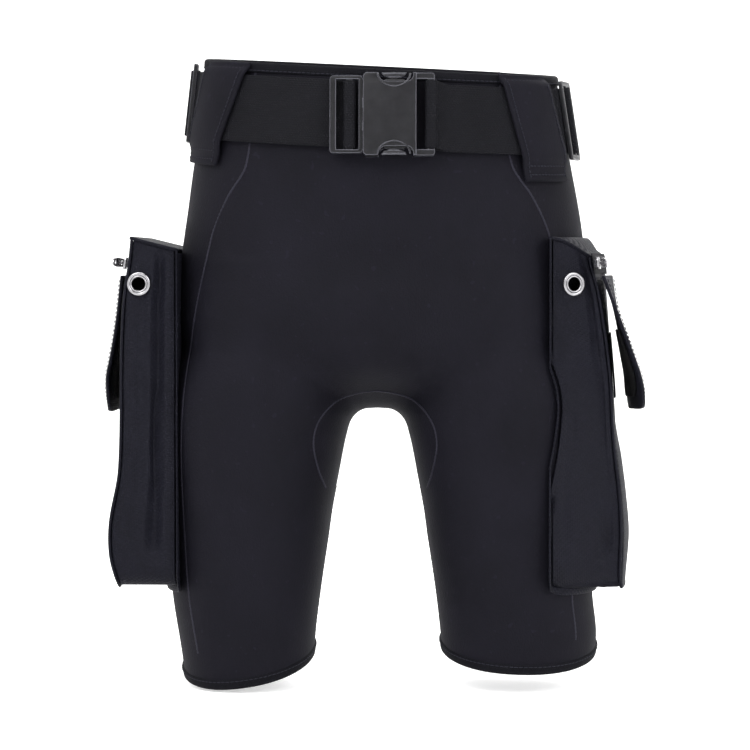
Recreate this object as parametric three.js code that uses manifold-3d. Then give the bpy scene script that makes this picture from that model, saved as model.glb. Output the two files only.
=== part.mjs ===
// Neoprene diving shorts with a webbing weight belt and two bellows thigh pockets.
// Millimetres, +Z up. The origin is the centre of the waist opening, level with its top edge.
// The front faces -Y, and +X is the wearer's left.
import * as THREE from 'three';
import { mergeVertices } from 'three/addons/utils/BufferGeometryUtils.js';
import Module from 'manifold-3d';

// ---------------------------------------------------------------- driving dimensions
const HIP_WIDTH = 330;          // widest, side to side
const BODY_DEPTH = 240;         // seat to belly
const LENGTH = 484;             // waist edge to lowest hem
const RISE = 0.5413 * LENGTH;   // waist edge to crotch
const NEOPRENE = 3.6;           // sheet thickness
const SEAM = 0.5;               // groove where two panels are sewn edge to edge
const GAP = 0.3;                // clearance between pieces that touch
const BINDING_HEIGHT = 8;       // folded tape over the waist and leg edges
const BINDING = 0.8;            // its thickness outside the neoprene
const WEBBING_WIDTH = 50;
const WEBBING = 1.5;
const LIE = 1.1;                // clearance of the belt over the neoprene
const BELT_DROP = 10;           // waist edge down to the belt's top edge
const LOOP_WIDTH = 44;
const LOOP_HEIGHT = 78;
const LOOP_THICK = 3.2;
const BUCKLE_X = 5;             // buckle's centre along the belt, from the front centre
// Places along the belt from the front centre, and how much the front loop slants.
const LAYOUT = {
  [-1]: { loop: -120, slant: -0.33, glide: -184, rearLoop: -292 },
  [1]: { loop: 116, slant: 0.2, glide: 168, rearLoop: 292 },
};
const BUCKLE_LENGTH = 77;
const BUCKLE_THICK = 13;
const BUCKLE_RIM = 5;           // plastic above and below the webbing
const BUCKLE_WALL = 2.3;
const GLIDE_LENGTH = 27;
const GLIDE_THICK = 3;
const FABRIC = 1.5;             // pocket cloth with its lining
const POCKET_TOP = -0.2707 * LENGTH;
const POCKET_BOTTOM = -0.814 * LENGTH;
const POCKET_DEPTH = 148;       // front to rear
const POCKET_CORNER = 18;
const POCKET_SLOPE = 14;        // how far the left pocket's rounded top falls outwards
const POCKET_SAG = 9;           // how far the right pocket's flat top falls towards the body
const TOP_ROOM = 1.5;           // between a pocket's top and the panels under it
const EYELET_RADIUS = 9;
const EYELET_BORE = 5;
const EYELET_FLANGE = 1;
const EYELET_LIP = 1.1;         // barrel wall
const ZIP_DROP = 20;            // pocket top down to the zip's middle
const ZIP_WIDTH = 6;
const ZIP_THICK = 1.5;
const FLAP_LENGTH = 104;
const FLAP_WIDTH = 116;
const FLAP_THICK = 2.6;
const PATCH = 1.4;              // hook and loop tape

// How far the garment differs from the size that the tables of millimetres below are drawn at.
const WIDE = HIP_WIDTH / 330;
const POCKET_TURN = 12 * WIDE;  // how far a fully turned front face leans into the pocket
const DEEP = BODY_DEPTH / 240;
const TALL = LENGTH / 484;

const wasm = await Module();
wasm.setup();
const V = (x, y, z) => new THREE.Vector3(x, y, z);
const lerp = THREE.MathUtils.lerp;
const clamp = THREE.MathUtils.clamp;
const rad = THREE.MathUtils.degToRad;

// ---------------------------------------------------------------- materials
const paint = (color, roughness, metalness = 0) =>
  new THREE.MeshStandardMaterial({ color, roughness, metalness, side: THREE.DoubleSide });
const neoprene = paint('#201f27', 0.85);
const binding = paint('#18181c', 0.8);
const webbing = paint('#1d1d20', 0.7);
const cloth = paint('#262833', 0.9);
const plastic = paint('#101012', 0.35);
const nickel = paint('#c8c8c6', 0.25, 1);
const hook = paint('#0c0c0e', 0.95);

// ---------------------------------------------------------------- geometry helpers
// A smooth curve through [place, value] stations whose places fall steadily.
function through(stations, placeUnit = 1, valueUnit = 1) {
  const at = stations.map(([p, v]) => [p * placeUnit, v * valueUnit]);
  const last = at.length - 1;
  const slope = (i) => {
    const a = at[Math.max(i - 1, 0)];
    const b = at[Math.min(i + 1, last)];
    return (b[1] - a[1]) / (b[0] - a[0]);
  };
  return (place) => {
    let i = 0;
    while (i < last - 1 && place < at[i + 1][0]) i++;
    const step = at[i + 1][0] - at[i][0];
    const t = clamp((place - at[i][0]) / step, 0, 1);
    const t2 = t * t;
    const t3 = t2 * t;
    return (2 * t3 - 3 * t2 + 1) * at[i][1] + (t3 - 2 * t2 + t) * step * slope(i)
      + (3 * t2 - 2 * t3) * at[i + 1][1] + (t3 - t2) * step * slope(i + 1);
  };
}

// A closed body from triangles, with shared corners merged and its faces turned outwards.
function closedBody(triangles) {
  let volume = 0;
  for (const [a, b, c] of triangles) volume += a.dot(b.clone().cross(c));
  const flat = [];
  for (const [a, b, c] of triangles) {
    for (const p of volume < 0 ? [a, c, b] : [a, b, c]) flat.push(p.x, p.y, p.z);
  }
  const geometry = new THREE.BufferGeometry();
  geometry.setAttribute('position', new THREE.Float32BufferAttribute(flat, 3));
  return tidy(geometry);
}

// Merges corners and drops triangles that have lost their area.
function tidy(geometry) {
  geometry.deleteAttribute('normal');
  geometry.deleteAttribute('uv');
  const merged = mergeVertices(geometry, 1e-3);
  const kept = [];
  const index = merged.index.array;
  for (let i = 0; i < index.length; i += 3) {
    const [a, b, c] = [index[i], index[i + 1], index[i + 2]];
    if (a !== b && b !== c && c !== a) kept.push(a, b, c);
  }
  merged.setIndex(kept);
  return merged;
}

const quad = (a, b, c, d) => [[a, b, c], [a, c, d]];

// The triangles of a grid of points.
function sheet(grid) {
  const out = [];
  for (let i = 0; i + 1 < grid.length; i++) {
    for (let j = 0; j + 1 < grid[i].length; j++) {
      out.push(...quad(grid[i][j], grid[i][j + 1], grid[i + 1][j + 1], grid[i + 1][j]));
    }
  }
  return out;
}

const flipped = (triangles) => triangles.map(([a, b, c]) => [a, c, b]);

// The wall between the same run of points on two sheets.
function rim(outer, inner) {
  const out = [];
  for (let j = 0; j + 1 < outer.length; j++) {
    out.push(...quad(outer[j + 1], outer[j], inner[j], inner[j + 1]));
  }
  return out;
}

// A thick panel between two grids. A grid that closes on itself across has no side walls.
function panel(outer, inner, closed = false) {
  const side = (grid, j) => grid.map((row) => row.at(j));
  const out = [...sheet(outer), ...flipped(sheet(inner))];
  out.push(...rim(outer[0], inner[0]), ...flipped(rim(outer.at(-1), inner.at(-1))));
  if (!closed) {
    out.push(...flipped(rim(side(outer, 0), side(inner, 0))), ...rim(side(outer, -1), side(inner, -1)));
  }
  return closedBody(out);
}

const solid = (geometry) => {
  const g = tidy(geometry.clone());
  return new wasm.Manifold(new wasm.Mesh({
    numProp: 3,
    vertProperties: new Float32Array(g.attributes.position.array),
    triVerts: new Uint32Array(g.index.array),
  }));
};

function surface(manifold) {
  const mesh = manifold.getMesh();
  const geometry = new THREE.BufferGeometry();
  geometry.setAttribute('position', new THREE.Float32BufferAttribute(mesh.vertProperties, 3));
  geometry.setIndex(Array.from(mesh.triVerts));
  return geometry;
}

const cut = (geometry, ...tools) =>
  surface(tools.reduce((body, tool) => body.subtract(solid(tool)), solid(geometry)));

// A shape drawn in X and Z, given thickness from y0 to y1.
function alongY(shape, y0, y1) {
  const geometry = new THREE.ExtrudeGeometry(shape,
    { depth: y1 - y0, bevelEnabled: false, curveSegments: 6 });
  geometry.rotateX(Math.PI / 2);
  geometry.translate(0, y1, 0);
  return geometry;
}

const box = (x0, x1, y0, y1, z0, z1) => {
  const geometry = new THREE.BoxGeometry(x1 - x0, y1 - y0, z1 - z0);
  geometry.translate((x0 + x1) / 2, (y0 + y1) / 2, (z0 + z1) / 2);
  return geometry;
};

const outline = (points) => new THREE.Shape(points.map(([x, y]) => new THREE.Vector2(x, y)));

// ---------------------------------------------------------------- the wearer's form
// Half the gap between the legs, and the outermost reach of each side, down from the waist.
const MID = 0.006 * HIP_WIDTH;
const legGap = through([[-0.42, 8], [-0.541, 18], [-0.568, 22], [-0.6, 26], [-0.65, 30.5], [-0.7, 35],
  [-0.745, 38], [-0.83, 44], [-0.91, 48.5], [-1, 50]], LENGTH, WIDE);
const REACH = {
  [-1]: through([[0, 0.394], [-0.124, 0.415], [-0.27, 0.447], [-0.45, 0.485], [-0.6, 0.498],
    [-0.745, 0.484], [-0.83, 0.473], [-0.92, 0.454], [-1, 0.436]], LENGTH, HIP_WIDTH),
  [1]: through([[0, 0.416], [-0.124, 0.445], [-0.27, 0.483], [-0.45, 0.514], [-0.6, 0.516],
    [-0.745, 0.509], [-0.83, 0.506], [-0.9, 0.515], [-1, 0.496]], LENGTH, HIP_WIDTH),
};
const front = through([[0, 0.408], [-0.124, 0.433], [-0.25, 0.448], [-0.37, 0.455], [-0.475, 0.42],
  [-0.58, 0.383], [-0.72, 0.342], [-0.83, 0.317], [-1, 0.296]], LENGTH, -BODY_DEPTH);
const back = through([[0, 0.383], [-0.124, 0.417], [-0.25, 0.492], [-0.37, 0.53], [-0.475, 0.475],
  [-0.58, 0.375], [-0.72, 0.3], [-0.83, 0.258], [-1, 0.238]], LENGTH, BODY_DEPTH);
const SEAT = [72 * WIDE, 62 * DEEP, 78 * TALL];       // half sizes of one side of the seat
const BELLY = [60 * WIDE, 50 * DEEP, 40 * TALL];
const LEG_TUCK = 9;                    // how far the thighs stand inside their reach at the hips
const TRUNK_POWER = 2.35;              // squareness of the trunk's section
const LEG_POWER = 2.15;
const BLEND = 14;
const CROTCH_CURVE = 85;
const WAIST_TILT = { x: -0.05, y: 0.07 };
const HEM = {
  [-1]: { z: -0.944 * LENGTH, x: 0.14, y: 0.18 },
  [1]: { z: -0.921 * LENGTH, x: -0.03, y: 0.18 },
};

const smoothMin = (a, b, k) => {
  const h = Math.max(k - Math.abs(a - b), 0) / k;
  return Math.min(a, b) - h * h * k / 4;
};

// How far a point is outside a rounded section given by its four edges.
function outsideSection(x, y, [x0, x1], [y0, y1], power) {
  const a = (x1 - x0) / 2;
  const b = (y1 - y0) / 2;
  const u = Math.abs((x - (x0 + x1) / 2) / a);
  const v = Math.abs((y - (y0 + y1) / 2) / b);
  return ((u ** power + v ** power) ** (1 / power) - 1) * Math.min(a, b);
}

function outsideEllipsoid(x, y, z, centre, radii) {
  const r = Math.hypot((x - centre[0]) / radii[0], (y - centre[1]) / radii[1], (z - centre[2]) / radii[2]);
  return (r - 1) * Math.min(...radii);
}

// Signed distance, roughly, from the outside of the neoprene: negative inside the body.
function outsideBody(x, y, z) {
  const taper = lerp(1, 0.6, THREE.MathUtils.smoothstep(-z, 0.72 * RISE, 1.02 * RISE));
  const torsoX = [MID - (MID + REACH[-1](z)) * taper, MID + (REACH[1](z) - MID) * taper];
  const section = outsideSection(x, y, torsoX, [front(z), back(z)], TRUNK_POWER);
  const floor = -RISE + y * y / (2 * CROTCH_CURVE) - z;
  let out = -smoothMin(-section, -floor, 20);
  for (const side of [-1, 1]) {
    const inner = MID + side * legGap(z);
    const tuck = LEG_TUCK * THREE.MathUtils.smoothstep(z, -0.95 * RISE, -0.6 * RISE);
    const outer = side * (REACH[side](z) - tuck);
    const across = side < 0 ? [outer, inner] : [inner, outer];
    const leg = outsideSection(x, y, across, [front(z), back(z)], LEG_POWER);
    out = smoothMin(out, Math.max(leg, z + 0.6 * RISE), BLEND);
    const seat = [MID + side * 0.2 * HIP_WIDTH, 0.29 * BODY_DEPTH, -0.7 * RISE];
    out = smoothMin(out, outsideEllipsoid(x, y, z, seat, SEAT), 30);
  }
  const belly = [MID, -0.27 * BODY_DEPTH, -0.74 * RISE];
  return smoothMin(out, outsideEllipsoid(x, y, z, belly, BELLY), 24);
}

function normalAt(p) {
  const e = 0.5;
  return V(
    outsideBody(p.x + e, p.y, p.z) - outsideBody(p.x - e, p.y, p.z),
    outsideBody(p.x, p.y + e, p.z) - outsideBody(p.x, p.y - e, p.z),
    outsideBody(p.x, p.y, p.z + e) - outsideBody(p.x, p.y, p.z - e),
  ).normalize();
}

// The first point outside the body on a ray, found by halving.
function castOut(from, way, reach) {
  let near = 0;
  let far = reach;
  for (let i = 0; i < 34; i++) {
    const half = (near + far) / 2;
    const p = from.clone().addScaledVector(way, half);
    if (outsideBody(p.x, p.y, p.z) < 0) near = half;
    else far = half;
  }
  return from.clone().addScaledVector(way, far);
}

// The lowest point of the crotch on the middle plane.
function findCrotch() {
  let best = null;
  for (let y = -0.2 * BODY_DEPTH; y < 0.25 * BODY_DEPTH; y += 1) {
    const p = castOut(V(MID, y, -0.75 * RISE), V(0, 0, -1), RISE);
    if (!best || p.z < best.z) best = p;
  }
  return best;
}
const CROTCH = findCrotch();

// A row's height at a point: rows near the waist and the hems lean with those edges.
function lean(level, side) {
  const waist = clamp(1 + level / (0.3 * RISE), 0, 1);
  const hem = clamp((CROTCH.z - 10 - level) / (CROTCH.z - 10 - HEM[side].z), 0, 1) ** 2;
  const hemX = MID + side * (legGap(HEM[side].z) + REACH[side](HEM[side].z)) / 2;
  return {
    x: waist * WAIST_TILT.x + hem * HEM[side].x,
    y: waist * WAIST_TILT.y + hem * HEM[side].y,
    z: level - hem * HEM[side].x * hemX,
  };
}

// A ray across the body that stays on its leaning row. One that starts in a side stops at the
// middle plane.
function castRow(from, angle, row, side = 0) {
  const way = V(Math.cos(angle), Math.sin(angle), 0);
  way.z = row.x * way.x + row.y * way.y;
  const start = V(from.x, from.y, row.z + row.x * from.x + row.y * from.y);
  const inward = -side * way.x;
  const reach = inward > 1e-6 ? (from.x - MID) * side / inward : HIP_WIDTH;
  return castOut(start, way, Math.min(reach, HIP_WIDTH));
}

// Evenly spaced points along a run of points.
function evenly(points, count) {
  const along = [0];
  for (let i = 1; i < points.length; i++) along.push(along[i - 1] + points[i].distanceTo(points[i - 1]));
  const out = [points[0].clone()];
  let i = 1;
  for (let k = 1; k < count; k++) {
    const want = along.at(-1) * k / count;
    while (along[i] < want) i++;
    out.push(points[i - 1].clone().lerp(points[i], (want - along[i - 1]) / (along[i] - along[i - 1])));
  }
  out.push(points.at(-1).clone());
  return out;
}

const COLUMNS = 22;
const RAYS = 132;
// One side's outline at one level: from the front middle round the outside to the back middle,
// and below the crotch from the inseam right round the leg to the inseam again.
function halfRow(level, side) {
  const row = lean(level, side);
  const centreX = MID + side * (legGap(-RISE) + 0.5 * HIP_WIDTH) / 2;
  const centre = V(centreX, CROTCH.y, 0);
  const above = level >= CROTCH.z;
  const middle = V(MID, CROTCH.y, row.z + row.x * MID + row.y * CROTCH.y + 1e-4);
  const ends = [-1, 1].map((way) => (level === CROTCH.z ? middle.clone()
    : castOut(middle, V(0, way, way * row.y), BODY_DEPTH)));
  const [first, last] = ends.map((p) => (above ? Math.atan2(p.y - centre.y, (p.x - centre.x) * -side) : 0));
  const points = [];
  for (let i = 0; i <= RAYS; i++) {
    const turn = lerp(first, last - 2 * Math.PI, i / RAYS);
    points.push(castRow(centre, side < 0 ? turn : Math.PI - turn, row, side));
  }
  if (above) [points[0], points[RAYS]] = ends;
  else points[RAYS] = points[0].clone();
  return evenly(points, COLUMNS);
}

// Both halves between the waist and the hems, as one shell, offset outwards and inwards.
function shell(levels, outward, inward) {
  const out = [];
  for (const side of [-1, 1]) {
    const base = levels(side).map((level) => halfRow(level, side));
    const offset = (by) => base.map((row) => row.map((p) => p.clone().addScaledVector(normalAt(p), by)));
    const [outer, inner] = [offset(outward), offset(-inward)];
    const faces = [...sheet(outer), ...flipped(sheet(inner)), ...rim(outer[0], inner[0]),
      ...flipped(rim(outer.at(-1), inner.at(-1)))];
    out.push(...(side < 0 ? faces : flipped(faces)));
  }
  return closedBody(out);
}

const bodyLevels = (side) => {
  const trunk = [-32, -58, -88, -118, -148, -178, -202, -220];
  const arch = [70, 52, 36, 22, 10, 0];
  const legs = [0.017, 0.05, 0.1, 0.17, 0.27, 0.4, 0.56, 0.73];
  const hemTop = HEM[side].z + BINDING_HEIGHT + GAP;
  return [
    -BINDING_HEIGHT - GAP,
    ...trunk.map((z) => z * TALL),
    ...arch.map((d) => CROTCH.z + d * d / (2 * CROTCH_CURVE)),
    ...legs.map((t) => lerp(CROTCH.z, hemTop, t)),
    hemTop,
  ];
};

// ---------------------------------------------------------------- panels of the shorts
// Half the width of the crotch gusset at each height below its top.
function gussetPrism(grow) {
  const half = [[0, 0], [14, -2], [30, -8], [42, -22], [46, -38], [43, -58], [36, -82]]
    .map(([x, z]) => [x * WIDE, z * TALL]);
  const points = half.map(([x, z]) => [x + (x ? grow : 0), z + grow]);
  const low = points.at(-1);
  points.push([low[0], low[1] - 2 * grow]);
  const left = points.slice(1).map(([x, z]) => [-x, z]).reverse();
  const top = CROTCH.z + 15;
  const shape = outline([...points, ...left].map(([x, z]) => [MID + x, top + z]));
  return alongY(shape, -BODY_DEPTH, BODY_DEPTH);
}

const seamInset = through([[0, 44], [-0.16, 46], [-0.21, 35], [-0.27, 27], [-0.42, 22], [-0.62, 20],
  [-0.86, 17], [-1.1, 22]], LENGTH, WIDE);

// Blades as thick as a seam, one for each line where panels meet.
function seamBlades() {
  const blades = [];
  const levels = Array.from({ length: 26 }, (_, i) => lerp(30, -1.06 * LENGTH, i / 25));
  for (const side of [-1, 1]) {
    const line = levels.map((z) => [side * (REACH[side](z) - seamInset(z)), z]);
    const edge = (by) => line.map(([x, z]) => [x + by, z]);
    const ribbon = outline([...edge(SEAM / 2), ...edge(-SEAM / 2).reverse()]);
    blades.push(alongY(ribbon, -BODY_DEPTH, CROTCH.y));
    const inseamX = [MID + side * 4, MID + side * 0.27 * HIP_WIDTH].sort((a, b) => a - b);
    blades.push(box(...inseamX, CROTCH.y - SEAM / 2, CROTCH.y + SEAM / 2, -1.1 * LENGTH, CROTCH.z - 30));
  }
  blades.push(box(MID - SEAM / 2, MID + SEAM / 2, CROTCH.y, BODY_DEPTH, CROTCH.z + 2, 20));
  return blades;
}

function panels() {
  const whole = solid(shell(bodyLevels, 0, NEOPRENE));
  const gusset = whole.intersect(solid(gussetPrism(0)));
  let rest = whole.subtract(solid(gussetPrism(SEAM)));
  for (const blade of seamBlades()) rest = rest.subtract(solid(blade));
  const centre = (body) => {
    const { min, max } = body.boundingBox();
    return V(...min).add(V(...max)).multiplyScalar(0.5);
  };
  const big = rest.decompose().filter((body) => body.volume() > 100);
  const [frontPanel, ...rears] = big.sort((a, b) => centre(a).y - centre(b).y);
  rears.sort((a, b) => centre(a).x - centre(b).x);
  return { frontPanel, rears, gusset };
}

// A folded tape over the waist edge or over one leg's edge.
function waistBinding() {
  const levels = () => [0, -BINDING_HEIGHT];
  const rows = [-1, 1].map((side) => levels().map((level) => halfRow(level, side)));
  const loop = (by) => [0, 1].map((i) => {
    const right = rows[0][i];
    const left = rows[1][i].slice(1, -1).reverse();
    return [...right, ...left, right[0]].map((p) => p.clone().addScaledVector(normalAt(p), by));
  });
  return panel(loop(BINDING), loop(-NEOPRENE - BINDING), true);
}

function hemBinding(side) {
  const rows = [HEM[side].z + BINDING_HEIGHT, HEM[side].z].map((level) => halfRow(level, side));
  const offset = (by) => rows.map((row) => row.map((p) => p.clone().addScaledVector(normalAt(p), by)));
  return panel(offset(BINDING), offset(-NEOPRENE - BINDING), true);
}

// ---------------------------------------------------------------- the belt
// The belt is laid out by its own measure: s along it from the front centre towards the wearer's
// left, v up from its middle, w out from the neoprene.
const BELT_Z = -BELT_DROP - WEBBING_WIDTH / 2;
const LAYER_1 = LIE + WEBBING / 2;
const LAYER_2 = LAYER_1 + WEBBING + GAP;
const BELT_OUT = LAYER_2 + WEBBING / 2;
const WAIST_X = (REACH[1](0) - REACH[-1](0)) / 2;

function onBody(angle, v) {
  const row = lean(0, -1);
  const plane = { ...row, z: BELT_Z + v };
  return castRow(V(WAIST_X, 0, 0), angle - Math.PI / 2, plane);
}

const RING = Array.from({ length: 361 }, (_, i) => onBody((i - 180) * Math.PI / 180, 0));
const RING_LENGTH = RING.slice(1).reduce((sum, p, i) => sum + p.distanceTo(RING[i]), 0);
const ringAt = (() => {
  const along = [0];
  for (let i = 1; i < RING.length; i++) along.push(along[i - 1] + RING[i].distanceTo(RING[i - 1]));
  const zero = along[180];
  return (s) => {
    const want = s + zero;
    let i = 1;
    while (i < RING.length - 1 && along[i] < want) i++;
    const t = (want - along[i - 1]) / (along[i] - along[i - 1]);
    return (i - 1 + t - 180) * Math.PI / 180;
  };
})();

function beltPoint(s, v, w) {
  const p = onBody(ringAt(s), v);
  return p.addScaledVector(normalAt(p), w);
}

// The flat frame that touches the belt line at s: x along, y up, z outwards.
function beltFrame(s, w = 0) {
  const origin = beltPoint(s, 0, w);
  const z = normalAt(beltPoint(s, 0, 0));
  const y = V(0, 0, 1).addScaledVector(z, -z.z).normalize();
  const x = y.clone().cross(z);
  return new THREE.Matrix4().makeBasis(x, y, z).setPosition(origin);
}

// Webbing along a run of rows. Each row gives its points by their height in the webbing, which
// follows the body where it lies on it and stays flat where a buckle or a glide holds it.
function ribbon(rows) {
  const middle = (i) => rows[clamp(i, 0, rows.length - 1)](0);
  const grid = (by) => rows.map((row, i) => {
    const along = middle(i + 1).sub(middle(i - 1));
    const out = along.cross(row(1).sub(row(-1))).normalize().multiplyScalar(by);
    return [-0.5, 0, 0.5].map((k) => row(k * WEBBING_WIDTH).add(out));
  });
  return panel(grid(WEBBING / 2), grid(-WEBBING / 2));
}

const beltMiddle = (s, w) => (v) => beltPoint(s, v, w);
const frameMiddle = (frame, x, w) => (v) => V(x, v, w).applyMatrix4(frame);

function beltRun(from, to, w, step = 9) {
  const count = Math.max(1, Math.round(Math.abs(to - from) / step));
  return Array.from({ length: count + 1 }, (_, i) => beltMiddle(lerp(from, to, i / count), w));
}

const buckleFrame = beltFrame(BUCKLE_X);
const BUCKLE_MID = 1 + BUCKLE_THICK / 2;
const HALF_BUCKLE = BUCKLE_LENGTH / 2;
const HALF_TALL = WEBBING_WIDTH / 2 + BUCKLE_RIM;
const SLOT_HALF = WEBBING_WIDTH / 2 + 1;
const BAR_HALF = 1.6;
const BAR_WIDE = 5;
const MALE_BAR = -HALF_BUCKLE + 14.5;          // middle bar that the webbing goes round
const FEMALE_BAR = HALF_BUCKLE - 2.6;
const BODY_LEFT = -HALF_BUCKLE + 24.6;         // mouth of the female half
const BODY_RIGHT = HALF_BUCKLE - 13.5;
const JOIN = 130;                              // where webbing lengths meet, under the front loops

// Webbing that comes in, goes round a bar and comes back above itself.
function foldedWebbing(bar, way, from) {
  const start = BUCKLE_X + bar + way * 13;
  const top = BUCKLE_MID + BAR_HALF + 2 * GAP + WEBBING / 2;
  const far = BAR_WIDE / 2 + 2 * GAP + WEBBING / 2;
  const arc = [
    [way * (far + 2.4), LAYER_2 - 0.4], [way * (far + 0.4), BUCKLE_MID - 2.3], [way * far, BUCKLE_MID],
    [way * (far - 0.2), top - 0.9], [way * (far - 1.1), top], [-way * (far - 1.1), top],
    [-way * (far - 0.2), top - 0.9], [-way * far, BUCKLE_MID], [-way * (far + 0.1), BUCKLE_MID - 2.9],
    [-way * (far - 0.6), LAYER_1 + 0.9], [-way * (far - 2.6), LAYER_1 + 0.1],
  ];
  return [
    ...beltRun(from, start, LAYER_2),
    ...arc.map(([x, w]) => frameMiddle(buckleFrame, bar + x, w)),
    ...beltRun(start, from, LAYER_1),
  ];
}

function maleStrap() {
  return ribbon(foldedWebbing(MALE_BAR, -1, -JOIN));
}

// The long webbing: from under the right front loop round the back and round the female bar.
function mainWebbing() {
  const start = -JOIN - GAP;
  const fold = foldedWebbing(FEMALE_BAR, 1, JOIN);
  const around = [];
  const steps = Math.round((RING_LENGTH - 2 * JOIN) / 12);
  for (let i = 1; i < steps; i++) {
    let s = lerp(start, start - (RING_LENGTH - 2 * JOIN - GAP), i / steps);
    if (s < -RING_LENGTH / 2) s += RING_LENGTH;
    around.push(beltMiddle(s, LAYER_1));
  }
  return ribbon([beltMiddle(start, LAYER_1), ...around, ...fold.reverse()]);
}

function strapReturn(side) {
  const end = Math.abs(LAYOUT[side].glide) - GLIDE_LENGTH / 2 - 1;
  return ribbon(beltRun(side * (JOIN + GAP), side * end, LAYER_2));
}

// A plate in the belt's plane with a slot each side of its middle bar.
function slottedPlate(x0, x1, halfTall, slots, w0, w1) {
  const r = 3;
  const shape = new THREE.Shape();
  shape.moveTo(x0 + r, -halfTall);
  shape.lineTo(x1 - r, -halfTall).quadraticCurveTo(x1, -halfTall, x1, -halfTall + r);
  shape.lineTo(x1, halfTall - r).quadraticCurveTo(x1, halfTall, x1 - r, halfTall);
  shape.lineTo(x0 + r, halfTall).quadraticCurveTo(x0, halfTall, x0, halfTall - r);
  shape.lineTo(x0, -halfTall + r).quadraticCurveTo(x0, -halfTall, x0 + r, -halfTall);
  const geometry = new THREE.ExtrudeGeometry(shape,
    { depth: w1 - w0, bevelEnabled: false, curveSegments: 4 });
  geometry.translate(0, 0, w0);
  return cut(geometry, ...slots.map(([a, b]) => box(a, b, -SLOT_HALF, SLOT_HALF, w0 - 1, w1 + 1)));
}

const PRONG_OUT = HALF_TALL - 4.2;      // prongs' outer edge from the buckle's middle
const PRONG_ROOT = BODY_LEFT + 4;
const PRONG_TIP = BODY_RIGHT - 5;
const CAVITY = BUCKLE_THICK - 2 * BUCKLE_WALL;

function maleBuckle() {
  const barLeft = MALE_BAR - BAR_WIDE / 2;
  const barRight = MALE_BAR + BAR_WIDE / 2;
  const edge = BODY_LEFT - GAP;
  const frame = slottedPlate(-HALF_BUCKLE, edge, HALF_TALL - 1.5,
    [[-HALF_BUCKLE + 4.5, barLeft], [barRight, edge - 3]], BUCKLE_MID - 3, BUCKLE_MID + 3);
  const relief = (w0, w1) => box(barLeft - 0.01, barRight + 0.01, -SLOT_HALF, SLOT_HALF, w0, w1);
  const low = relief(BUCKLE_MID - 4, BUCKLE_MID - BAR_HALF);
  const high = relief(BUCKLE_MID + BAR_HALF, BUCKLE_MID + 4);
  const tongue = box(edge - 2, PRONG_TIP - 2, -5, 5, BUCKLE_MID - 3, BUCKLE_MID + 3);
  const heads = [-1, 1].map((k) => box(edge - 2, PRONG_ROOT - 3 * GAP,
    ...[k * 12, k * PRONG_OUT].sort((a, b) => a - b), BUCKLE_MID - 3, BUCKLE_MID + 3));
  let body = solid(frame).subtract(solid(low)).subtract(solid(high)).add(solid(tongue));
  for (const head of heads) body = body.add(solid(head));
  return surface(body);
}

// A springing arm with a thumb pad at its outer edge.
function prong(way) {
  const arm = [[PRONG_ROOT, 17], [PRONG_ROOT + 9, 14.5], [PRONG_TIP - 3, 13], [PRONG_TIP, 15],
    [PRONG_TIP, PRONG_OUT - 4], [PRONG_TIP - 4, PRONG_OUT], [PRONG_ROOT + 12, PRONG_OUT],
    [PRONG_ROOT + 8, 19.5], [PRONG_ROOT, 22]];
  const shape = outline(arm.map(([x, y]) => [x, way * y]));
  const geometry = new THREE.ExtrudeGeometry(shape, { depth: CAVITY - 2 * GAP, bevelEnabled: false });
  geometry.translate(0, 0, BUCKLE_MID - CAVITY / 2 + GAP);
  return geometry;
}

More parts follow.
